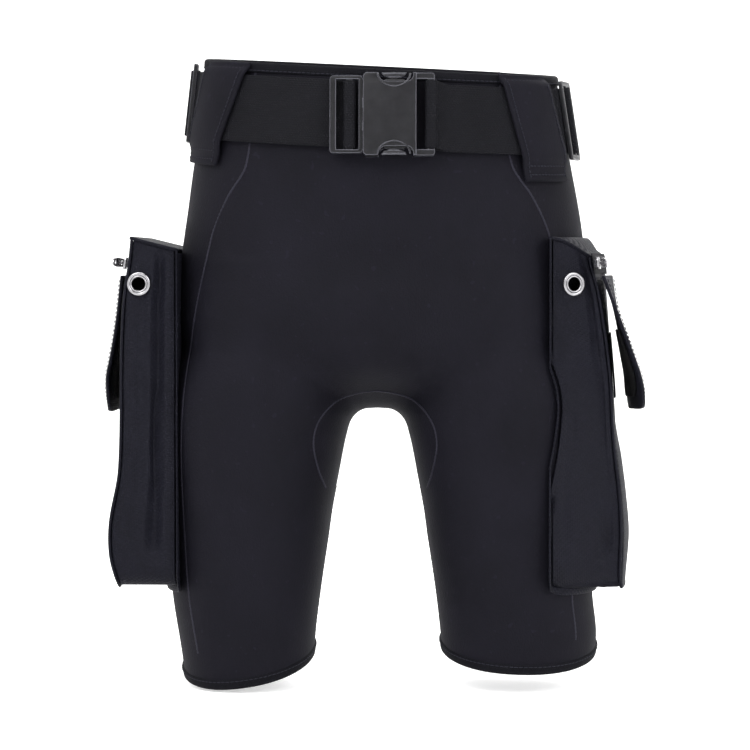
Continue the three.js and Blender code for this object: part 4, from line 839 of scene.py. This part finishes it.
def belt_loops():
    """Neoprene straps sewn above and below the webbing, each with stitching inside its edges."""
    side_edge = WEBBING_WIDTH / 2
    top = side_edge + BELT_DROP - 1
    bottom = top - LOOP_HEIGHT
    low, high = BINDING + 3 * GAP, BELT_OUT + 3 * GAP
    rise = through([[top, low], [side_edge + 5, low + 0.3], [side_edge + 1, high], [8, high], [-8, high],
                    [-side_edge - 1, high], [-side_edge - 9, low + 0.6], [bottom + 6, low], [bottom, low]])
    runs = []
    for side, name in SIDES.items():
        for where, at, slant in (("front", LAYOUT[side]["loop"], LAYOUT[side]["slant"]),
                                 ("rear", LAYOUT[side]["rear"], 0)):
            def surface(u, v, out=LOOP_THICK / 2, at=at, slant=slant):
                up = mix(top, bottom, u)
                crown = 0.5 * np.sin(np.pi * v)
                along = at + (v - 0.5) * LOOP_WIDTH + slant * (top - up)
                return belt_point(along, up, rise(up) + out + crown)

            plate(f"{name}_{where}_belt_loop", surface, (LOOP_HEIGHT, LOOP_WIDTH), LOOP_THICK, NEO, step=2,
                  replaces=(f"{name}_{where}_loop",), slot="neoprene")
            u = np.linspace(0.03, 0.97, 60)
            for v in (0.09, 0.91):
                path = surface(u, np.full_like(u, v), LOOP_THICK + 0.05)
                runs.append((path, form_normal(path)))
            across = np.linspace(0.1, 0.9, 14)
            for u_at in (0.06, 0.86, 0.94):
                path = surface(np.full_like(across, u_at), across, LOOP_THICK + 0.05)
                runs.append((path, form_normal(path)))
    stitches("loop_stitching", runs, THREAD, pitch=3.2, radius=0.4, slot="neoprene")


# ---------------------------------------------------------------- hard pieces
def hard(name, node, finish, body, bevel, crown=None):
    """A moulded or cast piece: the CAD node's own solid, merged into whole faces, optionally
    crowned, with its edges rounded off."""
    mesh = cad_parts[node].data.copy()
    mesh.name = name
    work = bmesh.new()
    work.from_mesh(mesh)
    bmesh.ops.remove_doubles(work, verts=work.verts, dist=2e-6)
    bmesh.ops.dissolve_limit(work, angle_limit=np.radians(1.0), verts=work.verts, edges=work.edges)
    if crown:
        crown(work)
    work.to_mesh(mesh)
    work.free()
    for layer in list(mesh.uv_layers):
        mesh.uv_layers.remove(layer)
    mesh.polygons.foreach_set("use_smooth", [True] * len(mesh.polygons))
    obj = bpy.data.objects.new(name, mesh)
    dress(obj, finish, body, (node,))
    rounding = obj.modifiers.new("rounded_edges", "BEVEL")
    rounding.width = bevel / 1000
    rounding.segments = 3
    rounding.limit_method = "ANGLE"
    rounding.angle_limit = np.radians(28)
    rounding.harden_normals = True
    return obj


def crown_buckle(height):
    """Bows the outer face of a buckle part: cut into strips up its height, then every point on
    its outer side moves out by height times 1 - (y / half)^2."""
    half = WEBBING_WIDTH / 2 + BUCKLE_RIM + 0.4

    def crown(work):
        for y in np.linspace(-half + 4, half - 4, 13):
            at = in_frame(BUCKLE, (0, y, 0)) / 1000
            bmesh.ops.bisect_plane(work, geom=work.verts[:] + work.edges[:] + work.faces[:],
                                   plane_co=Vector(at), plane_no=Vector(BUCKLE[1][1]), dist=1e-6)
        for vert in work.verts:
            local = BUCKLE[1] @ (np.array(vert.co) * 1000 - BUCKLE[0])
            out = max(0.0, local[2] - BUCKLE_MID) / (BUCKLE_THICK / 2)
            vert.co += Vector(BUCKLE[1][2]) * float(height * out * (1 - (local[1] / half) ** 2) / 1000)

    return crown


def thumb_pad(way, up):
    """A half-disc pad that lies in the thumb recess, domed and cut by shallow grooves, and the
    raised rim round it on the socket: half an ellipse that opens at the socket's edge."""
    middle, edge, crown = 8.7, WEBBING_WIDTH / 2 + BUCKLE_RIM + 0.4, 1.6
    face = BUCKLE_MID + BUCKLE_THICK / 2
    pad_wide, pad_deep, groove_pitch = 9.0, 4.2, 1.9
    rim_wide, rim_deep = 11.9, 9.6

    def pad(u, v):
        x, y = pad_wide * v * np.cos(np.pi * u), pad_deep * v * np.sin(np.pi * u)
        groove = 0.25 * np.cos(2 * np.pi * y / groove_pitch)
        out = face - 1.2 + 1.1 * (1 - v ** 2) + groove
        return in_frame(BUCKLE, stack(middle + x, up * (edge - 0.1 - y), out))

    plate(f"buckle_{way}_thumb_pad", pad, (28, 9), 1.6, PLASTIC, step=0.6,
          body=f"buckle_{way}_prong", slot="plastic")
    turn = np.linspace(0.02, np.pi - 0.02, 41)
    x, y = rim_wide * np.cos(turn), edge - 0.6 - rim_deep * np.sin(turn)
    rise = crown * (1 - (y / edge) ** 2)
    path = in_frame(BUCKLE, stack(middle + x, up * y, face + rise))
    inward = unit(in_frame(BUCKLE, stack(middle + 0.7 * x, up * (y + 0.3), face + rise)) - path)
    around = np.linspace(0, 2 * np.pi, 11)[:-1]
    section = np.stack([0.75 * np.cos(around), 0.6 * np.sin(around)], -1)
    swept(f"buckle_{way}_thumb_rim", path, inward, section, PLASTIC, slot="plastic")


def hardware():
    """Buckle halves, prongs, tri-glides, zip sliders and pulls."""
    hard("buckle_socket", "buckle_female", PLASTIC, "root", 0.7, crown_buckle(1.6))
    hard("buckle_tongue", "buckle_male", PLASTIC, "buckle_male_half", 0.8, crown_buckle(0.8))
    for way in ("upper", "lower"):
        hard(f"buckle_{way}_arm", f"buckle_prong_{way}", PLASTIC, f"buckle_{way}_prong", 0.9)
        thumb_pad(way, 1 if way == "upper" else -1)
    for name in SIDES.values():
        hard(f"{name}_tri_glide", f"{name}_glide", PLASTIC, f"{name}_glide_body", 0.7)
        hard(f"{name}_slider", f"{name}_zip_slider", NICKEL, f"{name}_slider_body", 0.35)
        hard(f"{name}_pull", f"{name}_zip_pull", NICKEL, f"{name}_pull_body", 0.35)


# ---------------------------------------------------------------- the pockets
# front: y of the front edge; turn: how far the front face leans; base: how far out it is sewn, front
# and rear; fold: the bellows crease's place, width and depth; flare: the flap's angle in degrees.
# The flap bows by curl, out by front_out, in by rear_in, and its lower edge in by tuck.
POCKETS = {
    -1: dict(front=-68, turn=0, base=(146, 144), eyelet=0.74, fold=(0.34, 0.17, 6),
             flare=10, curl=2.5, front_out=0, rear_in=2, tuck=6,
             round_top=False,
             out_front=through([[-131, 181], [-150, 183], [-176, 187], [-210, 189], [-305, 191],
                                [-345, 198], [-370, 198], [-394, 192]]),
             out_rear=through([[-131, 181], [-160, 184], [-260, 190], [-364, 197], [-394, 190]])),
    1: dict(front=-80, turn=0.5, base=(132, 142), eyelet=0.5, fold=(0.83, 0.1, 7),
            flare=13, curl=0, front_out=14, rear_in=6, tuck=3,
            round_top=True,
            out_front=through([[-131, 161], [-150, 163.5], [-176, 170], [-231, 178], [-281, 181],
                               [-341, 187], [-394, 186]]),
            out_rear=through([[-131, 177], [-165, 179], [-260, 186], [-293, 188], [-329, 192],
                              [-360, 196], [-394, 192]])),
}


class Pocket:
    """One thigh pocket, laid out by y front to rear, z, and k from its back (0) to its face (1)."""

    def __init__(self, side):
        self.side, self.name = side, SIDES[side]
        self.__dict__.update(POCKETS[side])
        self.rear = self.front + POCKET_DEPTH

    def inner(self, y, z):
        """The back's distance out: on the neoprene, and never nearer than the sewn base."""
        start = stack(MID + self.side * 0.3 * HIP_WIDTH, y, z)
        body = cast(start, np.array([self.side, 0, 0.0]), HIP_WIDTH)
        return np.maximum(np.abs(body[..., 0]) + 7 * GAP, mix(*self.base, (y - self.front) / POCKET_DEPTH))

    def outer(self, y, z):
        """The face's distance out, front to rear, swollen a little low down."""
        way = np.clip((y - self.front) / POCKET_DEPTH, 0, 1)
        swell = 3 * np.clip((POCKET_TOP - ZIP_DROP - FLAP_LENGTH - z) / 40, 0, 1)
        return mix(self.out_front(z), self.out_rear(z), way) + swell * np.sin(np.pi * way)

    def point(self, y, z, k, extra=0.0):
        """A point of the pocket; a turned front face lies further back the further out it is."""
        y, z, k = np.broadcast_arrays(np.asarray(y, float), z, k)
        back = self.inner(y, z)
        x = mix(back, self.outer(y, z), k)
        y = y + self.turn * (x - back) * np.clip(1 - (y - self.front) / 60, 0, 1)
        return stack(self.side * (x + extra), y, z)

    def span(self, z):
        """Front and rear limits of the outline at a height, round its lower corners."""
        above = z - POCKET_BOTTOM
        r = POCKET_CORNER
        tuck = np.where(above < r, r - np.sqrt(np.maximum(r * r - (r - above) ** 2, 0)), 0)
        return self.front + tuck, self.rear - tuck


def top_fall(pocket, k):
    """The top falls away outwards as a quarter round, or lies flat and falls towards the body."""
    return POCKET_TOP - (POCKET_SLOPE * (1 - np.cos(k * np.pi / 2)) if pocket.round_top
                         else POCKET_SAG * (1 - k))


def band_path(pocket, samples):
    """The line down the front, along the bottom and up the rear, as (y, fall, out y, out z), with
    fall 1 where it hangs from the top and 0 on the bottom."""
    r = POCKET_CORNER - 1
    y0, y1, z0 = pocket.front, pocket.rear, POCKET_BOTTOM
    corner = np.linspace(0, np.pi / 2, 9)[1:-1]
    down = np.linspace(0, 1, samples)
    rows = [stack(y0, 1 - down, -1, 0)]
    rows.append(stack(y0 + r - r * np.cos(corner), -np.sin(corner), -np.cos(corner), -np.sin(corner)))
    flat = np.linspace(0, 1, 26)
    rows.append(stack(mix(y0 + r, y1 - r, flat), -1, 0, -1))
    rows.append(stack(y1 - r + r * np.sin(corner), -np.cos(corner), np.sin(corner), -np.cos(corner)))
    rows.append(stack(y1, down, 1, 0))
    path = np.concatenate(rows)
    return path, z0 + r, r


def eyelet_places(pocket):
    """Each eyelet's centre in the cloth and the way it faces: one in front, one in the bottom."""
    mid = pocket.point(pocket.front, POCKET_TOP - 35.0, pocket.eyelet)
    normal = unit(np.array([pocket.side * pocket.turn, -1.0, 0]))
    under = pocket.point(pocket.front + 46.0, float(POCKET_BOTTOM), 0.5) + np.array([0, 0, FABRIC / 2])
    return (mid - normal * FABRIC / 2, normal), (under, np.array([0, 0, -1.0]))


def gusset(pocket):
    """The bellows band between the pocket's back and its face: its front and rear walls fold in
    between their edges by a smooth hump, and the whole is a slab with the eyelet holes under the
    eyelets."""
    path, corner_z, r = band_path(pocket, 60)
    k = np.linspace(0, 1, 41)
    y, fall, ny, nz = [path[:, i][:, None] for i in range(4)]
    room_margin = FABRIC + 0.9
    at, width, depth = pocket.fold
    crease = depth * hump(k - at, width) + 1.6 * hump(k - (1 - at), 0.16)
    high = top_fall(pocket, k) - 0.9
    z = np.where(fall >= 0, mix(corner_z, high, np.clip(fall, 0, 1)), corner_z + r * fall)
    quiet = ease(np.clip(fall, 0, 1) * 12) * ease((1 - np.clip(fall, 0, 1)) * 9 + 0.15)
    wrinkle = 0.5 * np.sin(z / 7.3 + 9 * k) * np.sin(z / 23 + 3 * k)
    skins = []
    for by in (0, FABRIC):
        yy = y - ny * (by + crease * quiet + wrinkle * quiet)
        zz = z - nz * by
        room = pocket.outer(yy, zz) - pocket.inner(yy, zz)
        kk = mix(room_margin / room, 1 - room_margin / room, k)
        skins.append(pocket.point(yy, zz, kk))
    points = np.stack(skins)
    index = np.arange(points[..., 0].size).reshape(points.shape[:3])
    faces = [grid_faces(index[0]), grid_faces(index[1])[:, ::-1],
             grid_faces(np.stack([index[1, 0], index[0, 0]])),
             grid_faces(np.stack([index[0, -1], index[1, -1]])),
             grid_faces(np.stack([index[0, :, 0], index[1, :, 0]])),
             grid_faces(np.stack([index[1, :, -1], index[0, :, -1]]))]
    faces = np.concatenate(faces)
    for origin, way in eyelet_places(pocket):
        off = points.reshape(-1, 3)[faces].mean(1) - origin
        along = off @ way
        near = (np.linalg.norm(off - along[:, None] * way, axis=-1) < EYELET_BORE + 1.6) & (np.abs(along) < 6)
        faces = faces[~near]
    walked = np.cumsum(np.linalg.norm(np.diff(skins[0], axis=0, prepend=skins[0][:1]), axis=-1), 0)
    wide = np.cumsum(np.linalg.norm(np.diff(skins[0], axis=1, prepend=skins[0][:, :1]), axis=-1), 1)
    uv = np.stack([walked, wide], -1) / 10
    return piece(f"{pocket.name}_bellows", points, faces, CLOTH, uv=np.stack([uv, uv]),
                 replaces=(f"{pocket.name}_pocket_gusset",), slot="pocket_cloth")


def edge_cord(pocket, k, width, thick, out, name):
    """The sewn edge that runs down the front, round the bottom and up the rear at k: a soft oval
    cord of cloth that stands out of the pocket."""
    path, corner_z, r = band_path(pocket, 60)
    y, fall, ny, nz = path.T
    high = top_fall(pocket, np.full_like(y, k)) - 1
    z = np.where(fall >= 0, mix(corner_z, high, np.clip(fall, 0, 1)), corner_z + r * fall)
    line = pocket.point(y + ny * out, z + nz * out, k, -thick * 0.35 * (1 if k > 0.5 else -1))
    keep = np.concatenate([[True], np.linalg.norm(np.diff(line, axis=0), axis=-1) > 0.05])
    line, ny, nz = line[keep], ny[keep], nz[keep]
    across = unit(stack(0 * ny, ny, nz))
    turn = np.linspace(0, 2 * np.pi, 13)[:-1]
    section = np.stack([width / 2 * np.cos(turn), thick / 2 * np.sin(turn)], -1)
    swept(name, line, across, section, CLOTH, slot="pocket_cloth")
    side_out = np.broadcast_to(np.array([pocket.side, 0, 0.0]), line.shape)
    return line - across * (width * 0.9) + side_out * (thick * 0.12), side_out


def face_frame(pocket, t, z, lift):
    """The flat frame on the pocket's face: x towards the rear, y in the face, z out of it."""
    def at(tt, level):
        return pocket.point(mix(pocket.front, pocket.rear, tt), level, 1.0)

    along = unit(at(0.9, z) - at(0.1, z))
    down = at(t, z - 3) - at(t, z + 3)
    out = unit(np.cross(along, down)) * -pocket.side
    return at(t, z) + out * lift, np.stack([along, unit(np.cross(out, along)), out])


def boxes(frame_at, centres, halves, turned):
    """Small chamfered blocks in a flat frame, as points and faces: an eight-sided outline in x and
    y, drawn in at its top."""
    turn = np.radians([22.5, 67.5, 112.5, 157.5, 202.5, 247.5, 292.5, 337.5])
    shape = np.stack([np.cos(turn), np.sin(turn)], -1) * 1.08 * halves[:2]
    rings = [np.concatenate([shape * s, np.full((8, 1), h * halves[2])], -1)
             for s, h in ((1, -1), (1, 0.5), (0.7, 1))]
    block = np.concatenate(rings)
    c, s = np.cos(turned)[:, None], np.sin(turned)[:, None]
    local = stack(block[:, 0] * c - block[:, 1] * s, block[:, 0] * s + block[:, 1] * c, block[:, 2] + 0 * c)
    points = in_frame(frame_at, (local + centres[:, None]).reshape(-1, 3))
    ring = np.arange(9) % 8
    wall = grid_faces(np.stack([ring, ring + 8, ring + 16]))
    caps = np.array([[0, 1, 2, 3], [0, 3, 4, 7], [4, 5, 6, 7]])
    one = np.concatenate([wall, caps + 16, caps[:, ::-1]])
    return points, (one[None] + 24 * np.arange(len(centres))[:, None, None]).reshape(-1, 4)


def zip_chain(pocket):
    """Moulded teeth: two rows that mesh, one every 3 mm on each side, on a woven tape."""
    at = face_frame(pocket, 0.5, ZIP_Z, 3 * GAP)
    half = 0.44 * POCKET_DEPTH
    x = np.arange(-half + 1, half - 1, 1.5)
    side = np.where(np.arange(len(x)) % 2 == 0, 1.0, -1.0)
    points, faces = boxes(at, stack(x, side * 0.9, 0.8), np.array([0.62, 1.9, 0.75]), 0 * x)
    piece(f"{pocket.name}_zip_chain", points, faces, PLASTIC, replaces=(f"{pocket.name}_zip_teeth",),
          slot="plastic", sharp=40)

    def tape(u, v):
        crown = -0.35 + 0.2 * np.sin(np.pi * v)
        return in_frame(at, stack(mix(-half - 3, half + 3, u), mix(-8, 8, v), crown))

    plate(f"{pocket.name}_zip_tape", tape, (2 * half + 6, 16), 0.7, TAPE, slot="binding")


def eyelet(name, origin, way, node):
    """A rolled eyelet turned about its axis: a domed flange with a fine step inside it, a barrel
    and a flat flange behind."""
    half = FABRIC / 2 + 0.6
    turn = np.linspace(0.05, np.pi, 15)
    outer = np.stack([7.65 + 1.35 * np.cos(turn), half + 0.1 + 1.25 * np.sin(turn)], -1)
    inner_turn = np.linspace(0.25, np.pi * 0.98, 11)
    inner = np.stack([5.75 + 0.75 * np.cos(inner_turn), half + 0.45 + 0.95 * np.sin(inner_turn)], -1)
    back = np.array([[5.0, 0.4], [5.0, -half], [5.2, -half - 0.9], [6.6, -half - 1.1], [7.9, -half - 0.9],
                     [8.3, -half - 0.2], [6.1, -half], [6.1, half], [8.9, half]])
    profile = np.concatenate([outer, inner, back])
    z = unit(way)
    x = unit(np.cross(np.array([0.13, 0.31, 0.94]), z))
    y = np.cross(z, x)
    around = np.linspace(0, 2 * np.pi, 65)[:-1]
    points = (origin + (np.cos(around)[:, None, None] * x + np.sin(around)[:, None, None] * y)
              * profile[:, 0][:, None] + z * profile[:, 1][:, None])
    index = np.arange(points[..., 0].size).reshape(points.shape[:2])
    index = np.concatenate([index, index[:, :1]], 1)
    index = np.concatenate([index, index[:1]])
    piece(name, points, grid_faces(index), NICKEL, replaces=(node,), slot="nickel", sharp=50)


def flap_set(pocket):
    """The flap and its hook tape. The flap is a thick cloth plate with rounded lower corners that
    bows a little, sewn all round; it turns about its top edge."""
    side = pocket.side

    def at(t):
        return pocket.point(mix(pocket.front, pocket.rear, t), FLAP_Z, 1.0)

    y = unit(at(0.9) - at(0.1))
    x = unit(np.cross(y, np.array([0, 0, 1.0])))
    origin = at(0.5) + x * side * (4 * GAP + 2 * PATCH)
    z = np.cross(x, y)
    turn = -side * np.radians(pocket.flare)
    axes = np.stack([np.cos(turn) * x - np.sin(turn) * z, y, np.sin(turn) * x + np.cos(turn) * z])

    def drape(inset, top, x_at):
        def surface(u, v):
            fall = mix(top, FLAP_LENGTH - inset, u)
            low = np.clip((fall - (FLAP_LENGTH - inset - 26)) / 26, 0, 1)
            half = FLAP_WIDTH / 2 - inset - 24 * (1 - np.sqrt(np.maximum(1 - low ** 2.2, 0)) ** 0.8)
            drop = fall / FLAP_LENGTH
            across = (2 * v - 1) * half
            way = 0.5 + across / FLAP_WIDTH
            bow = (drop * pocket.front_out * (1 - way) ** 2 - drop ** 0.7 * pocket.rear_in * way
                   - pocket.curl * np.sin(np.pi * drop) - pocket.tuck * ease((drop - 0.7) / 0.3))
            return in_frame((origin, axes), stack(side * (x_at + bow), across, -fall))
        return surface

    body = f"{pocket.name}_flap_body"
    plate(f"{pocket.name}_pocket_flap", drape(0, 0, FLAP_THICK / 2), (FLAP_LENGTH, FLAP_WIDTH), FLAP_THICK,
          CLOTH, step=2.5, body=body, replaces=(f"{pocket.name}_flap",), slot="pocket_cloth")
    plate(f"{pocket.name}_hook_patch", drape(10, 42, -GAP - PATCH / 2), (52, 96), PATCH, HOOK, step=3,
          body=body, replaces=(f"{pocket.name}_flap_hook",), slot="hook_tape")
    runs = []
    out = axes[0] * side
    for inset in (3.2, 9.0):
        line = drape(inset, 3, FLAP_THICK + 0.12 + 0.5)
        u = np.linspace(0, 1, 40)
        rim = np.concatenate([line(u, 0 * u), line(0 * u[1:] + 1, u[1:]), line(1 - u[1:], 0 * u[1:] + 1)])
        keep = np.concatenate([[True], np.linalg.norm(np.diff(rim, axis=0), axis=-1) > 0.02])
        rim = rim[keep]
        runs.append((rim, np.broadcast_to(out, rim.shape)))
    stitches(f"{pocket.name}_flap_stitching", runs, THREAD, pitch=3.4, radius=0.3, body=body,
             slot="pocket_cloth")


def top_roll(pocket):
    """The rolled cloth edge round the pocket's top: along the front, the face and the rear."""
    k = np.linspace(0.02, 1, 9)
    y = np.linspace(pocket.front, pocket.rear, 15)
    down = 0.8
    line = [pocket.point(pocket.front, top_fall(pocket, k) - down, k),
            pocket.point(y, top_fall(pocket, 1) - down, 1),
            pocket.point(pocket.rear, top_fall(pocket, k[::-1]) - down, k[::-1])]
    line = resample(np.concatenate(line), 90)
    around = np.linspace(0, 2 * np.pi, 13)[:-1]
    swept(f"{pocket.name}_top_roll", line, np.broadcast_to([0, 0, 1.0], line.shape),
          1.3 * np.stack([np.cos(around), np.sin(around)], -1), CLOTH, slot="pocket_cloth")


def build_pocket(side):
    """One pocket: back, face, bellows, top, sewn edges, eyelets, zip and flap."""
    pocket = Pocket(side)
    name = pocket.name

    def wall(k, lift):
        top = top_fall(pocket, k) - FABRIC - 1.2

        def surface(u, v):
            z = mix(top, POCKET_BOTTOM + 0.5, u)
            a, b = pocket.span(z)
            dent = 0.8 * np.sin(z / 21 + 3 * v) * np.sin(np.pi * v) * np.sin(np.pi * u) if k else 0
            return pocket.point(mix(a, b, v), z, k, lift - dent)
        return surface

    size = (POCKET_TOP - POCKET_BOTTOM, POCKET_DEPTH)
    for part, k, lift in (("back", 0, FABRIC / 2), ("face", 1, -FABRIC / 2)):
        plate(f"{name}_cloth_{part}", wall(k, lift), size, FABRIC, CLOTH, step=3.5,
              replaces=(f"{name}_pocket_{part}",), slot="pocket_cloth")
    gusset(pocket)

    def top(u, v):
        y = mix(pocket.front, pocket.rear, u)
        sag = 0.7 * np.sin(y / 11) * np.sin(np.pi * v)
        return pocket.point(y, top_fall(pocket, v) - 0.75 + sag * 0.4, v, -0.6 * np.sin(v * np.pi / 2))

    plate(f"{name}_cloth_top", top, (POCKET_DEPTH, 44), FABRIC, CLOTH, step=2.5,
          replaces=(f"{name}_pocket_top",), slot="pocket_cloth")
    runs = [edge_cord(pocket, 1.0, 3.2, 2.2, 0.3, f"{name}_face_edge"),
            edge_cord(pocket, 0.0, 6.5, 1.6, 2.2, f"{name}_sewn_base")]
    stitches(f"{name}_pocket_stitching", runs, THREAD, pitch=3.4, radius=0.36, slot="pocket_cloth")

    top_roll(pocket)

    for place, part in zip(eyelet_places(pocket), ("front", "drain")):
        eyelet(f"{name}_{part}_ring", *place, f"{name}_{part}_eyelet")
    zip_chain(pocket)
    flap_set(pocket)

    def loop_pile(u, v):
        z = mix(FLAP_Z - 44, FLAP_Z - 92, u)
        y = pocket.front + POCKET_DEPTH / 2 + (2 * v - 1) * (FLAP_WIDTH / 2 - 14)
        return pocket.point(y, z, 1.0, 2 * GAP + PATCH / 2)

    plate(f"{name}_loop_pile", loop_pile, (48, 88), PATCH, LOOP, step=3,
          replaces=(f"{name}_loop_patch",), slot="hook_tape")


shorts_shell()
body_seams()
edges()
belt()
belt_loops()
hardware()
for pocket_side in SIDES:
    build_pocket(pocket_side)


# ---------------------------------------------------------------- studio
def plain(name, code, rough=0.9, glow=0.0):
    """A plain matt studio surface, lit from behind by glow."""
    made, _, _ = material(name, Base_Color=rgb(code), Roughness=rough, Emission_Color=rgb(code),
                          Emission_Strength=glow)
    return made


def studio_bowl():
    """A pale round floor that curves up into a wall on every side: flat to 3.2 m from the middle,
    then a quarter round of 0.9 m, then straight up to 3 m."""
    t = np.linspace(0, np.pi / 2, 17)
    radius = np.concatenate([[1, 1500, 3000], 3200 + 900 * np.sin(t), [4100]])
    height = np.concatenate([[0, 0, 0], 900 - 900 * np.cos(t), [3000]]) + CAD_FLOOR
    turn = np.linspace(0, 2 * np.pi, 97)[:-1]
    points = stack(radius[:, None] * np.cos(turn), radius[:, None] * np.sin(turn), height[:, None])
    index = np.arange(points[..., 0].size).reshape(points.shape[:2])
    index = np.concatenate([index, index[:, :1]], 1)
    mesh = bpy.data.meshes.new("studio_floor")
    faces = grid_faces(index).tolist() + [index[0, :-1].tolist()]
    mesh.from_pydata((points.reshape(-1, 3) / 1000).tolist(), [], faces)
    mesh.polygons.foreach_set("use_smooth", [True] * len(mesh.polygons))
    floor = bpy.data.objects.new("studio_floor", mesh)
    bpy.context.scene.collection.objects.link(floor)
    mesh.materials.append(plain("studio_paper", "#f4f4f4", glow=0.42))


CAD_FLOOR = min(c[2] for c in CAD_BOX) * 1000 - 1.5
studio_bowl()


def soft_light(name, at, size, watts, target):
    """A square area light that faces a point, all in metres."""
    lamp = bpy.data.lights.new(name, "AREA")
    lamp.shape, lamp.size, lamp.energy = "SQUARE", size, watts
    obj = bpy.data.objects.new(name, lamp)
    obj.location = at
    obj.rotation_euler = (Vector(target) - Vector(at)).to_track_quat("-Z", "Y").to_euler()
    bpy.context.scene.collection.objects.link(obj)


AIM = (-0.0005, 0.0, -0.2365)
soft_light("key", (-1.1, -1.7, 1.7), 1.4, 56, AIM)
soft_light("fill", (1.7, -1.6, 1.1), 1.4, 34, AIM)
soft_light("top", (0, -0.3, 2.0), 1.6, 40, AIM)
soft_light("back", (0.6, 1.6, 1.2), 1.2, 25, AIM)
world = bpy.data.worlds.new("studio")
bpy.context.scene.world = world
world.use_nodes = True
world.node_tree.nodes["Background"].inputs[0].default_value = rgb("#ffffff")
world.node_tree.nodes["Background"].inputs[1].default_value = 0.5

DISTANCE = 2.4                          # camera to the object's middle
FRAME_WIDTH = 0.5775                    # seen across at that distance
AZIMUTH, ELEVATION = np.radians(2), np.radians(2)
lens = bpy.data.cameras.new("camera")
lens.sensor_width = 36
lens.lens = 36 * DISTANCE / FRAME_WIDTH
camera = bpy.data.objects.new("camera", lens)
away = Vector((np.sin(AZIMUTH) * np.cos(ELEVATION), -np.cos(AZIMUTH) * np.cos(ELEVATION), np.sin(ELEVATION)))
camera.location = Vector(AIM) + away * DISTANCE
camera.rotation_euler = (Vector(AIM) - camera.location).to_track_quat("-Z", "Y").to_euler()
bpy.context.scene.collection.objects.link(camera)
bpy.context.scene.camera = camera
bpy.context.scene.view_settings.view_transform = "Standard"
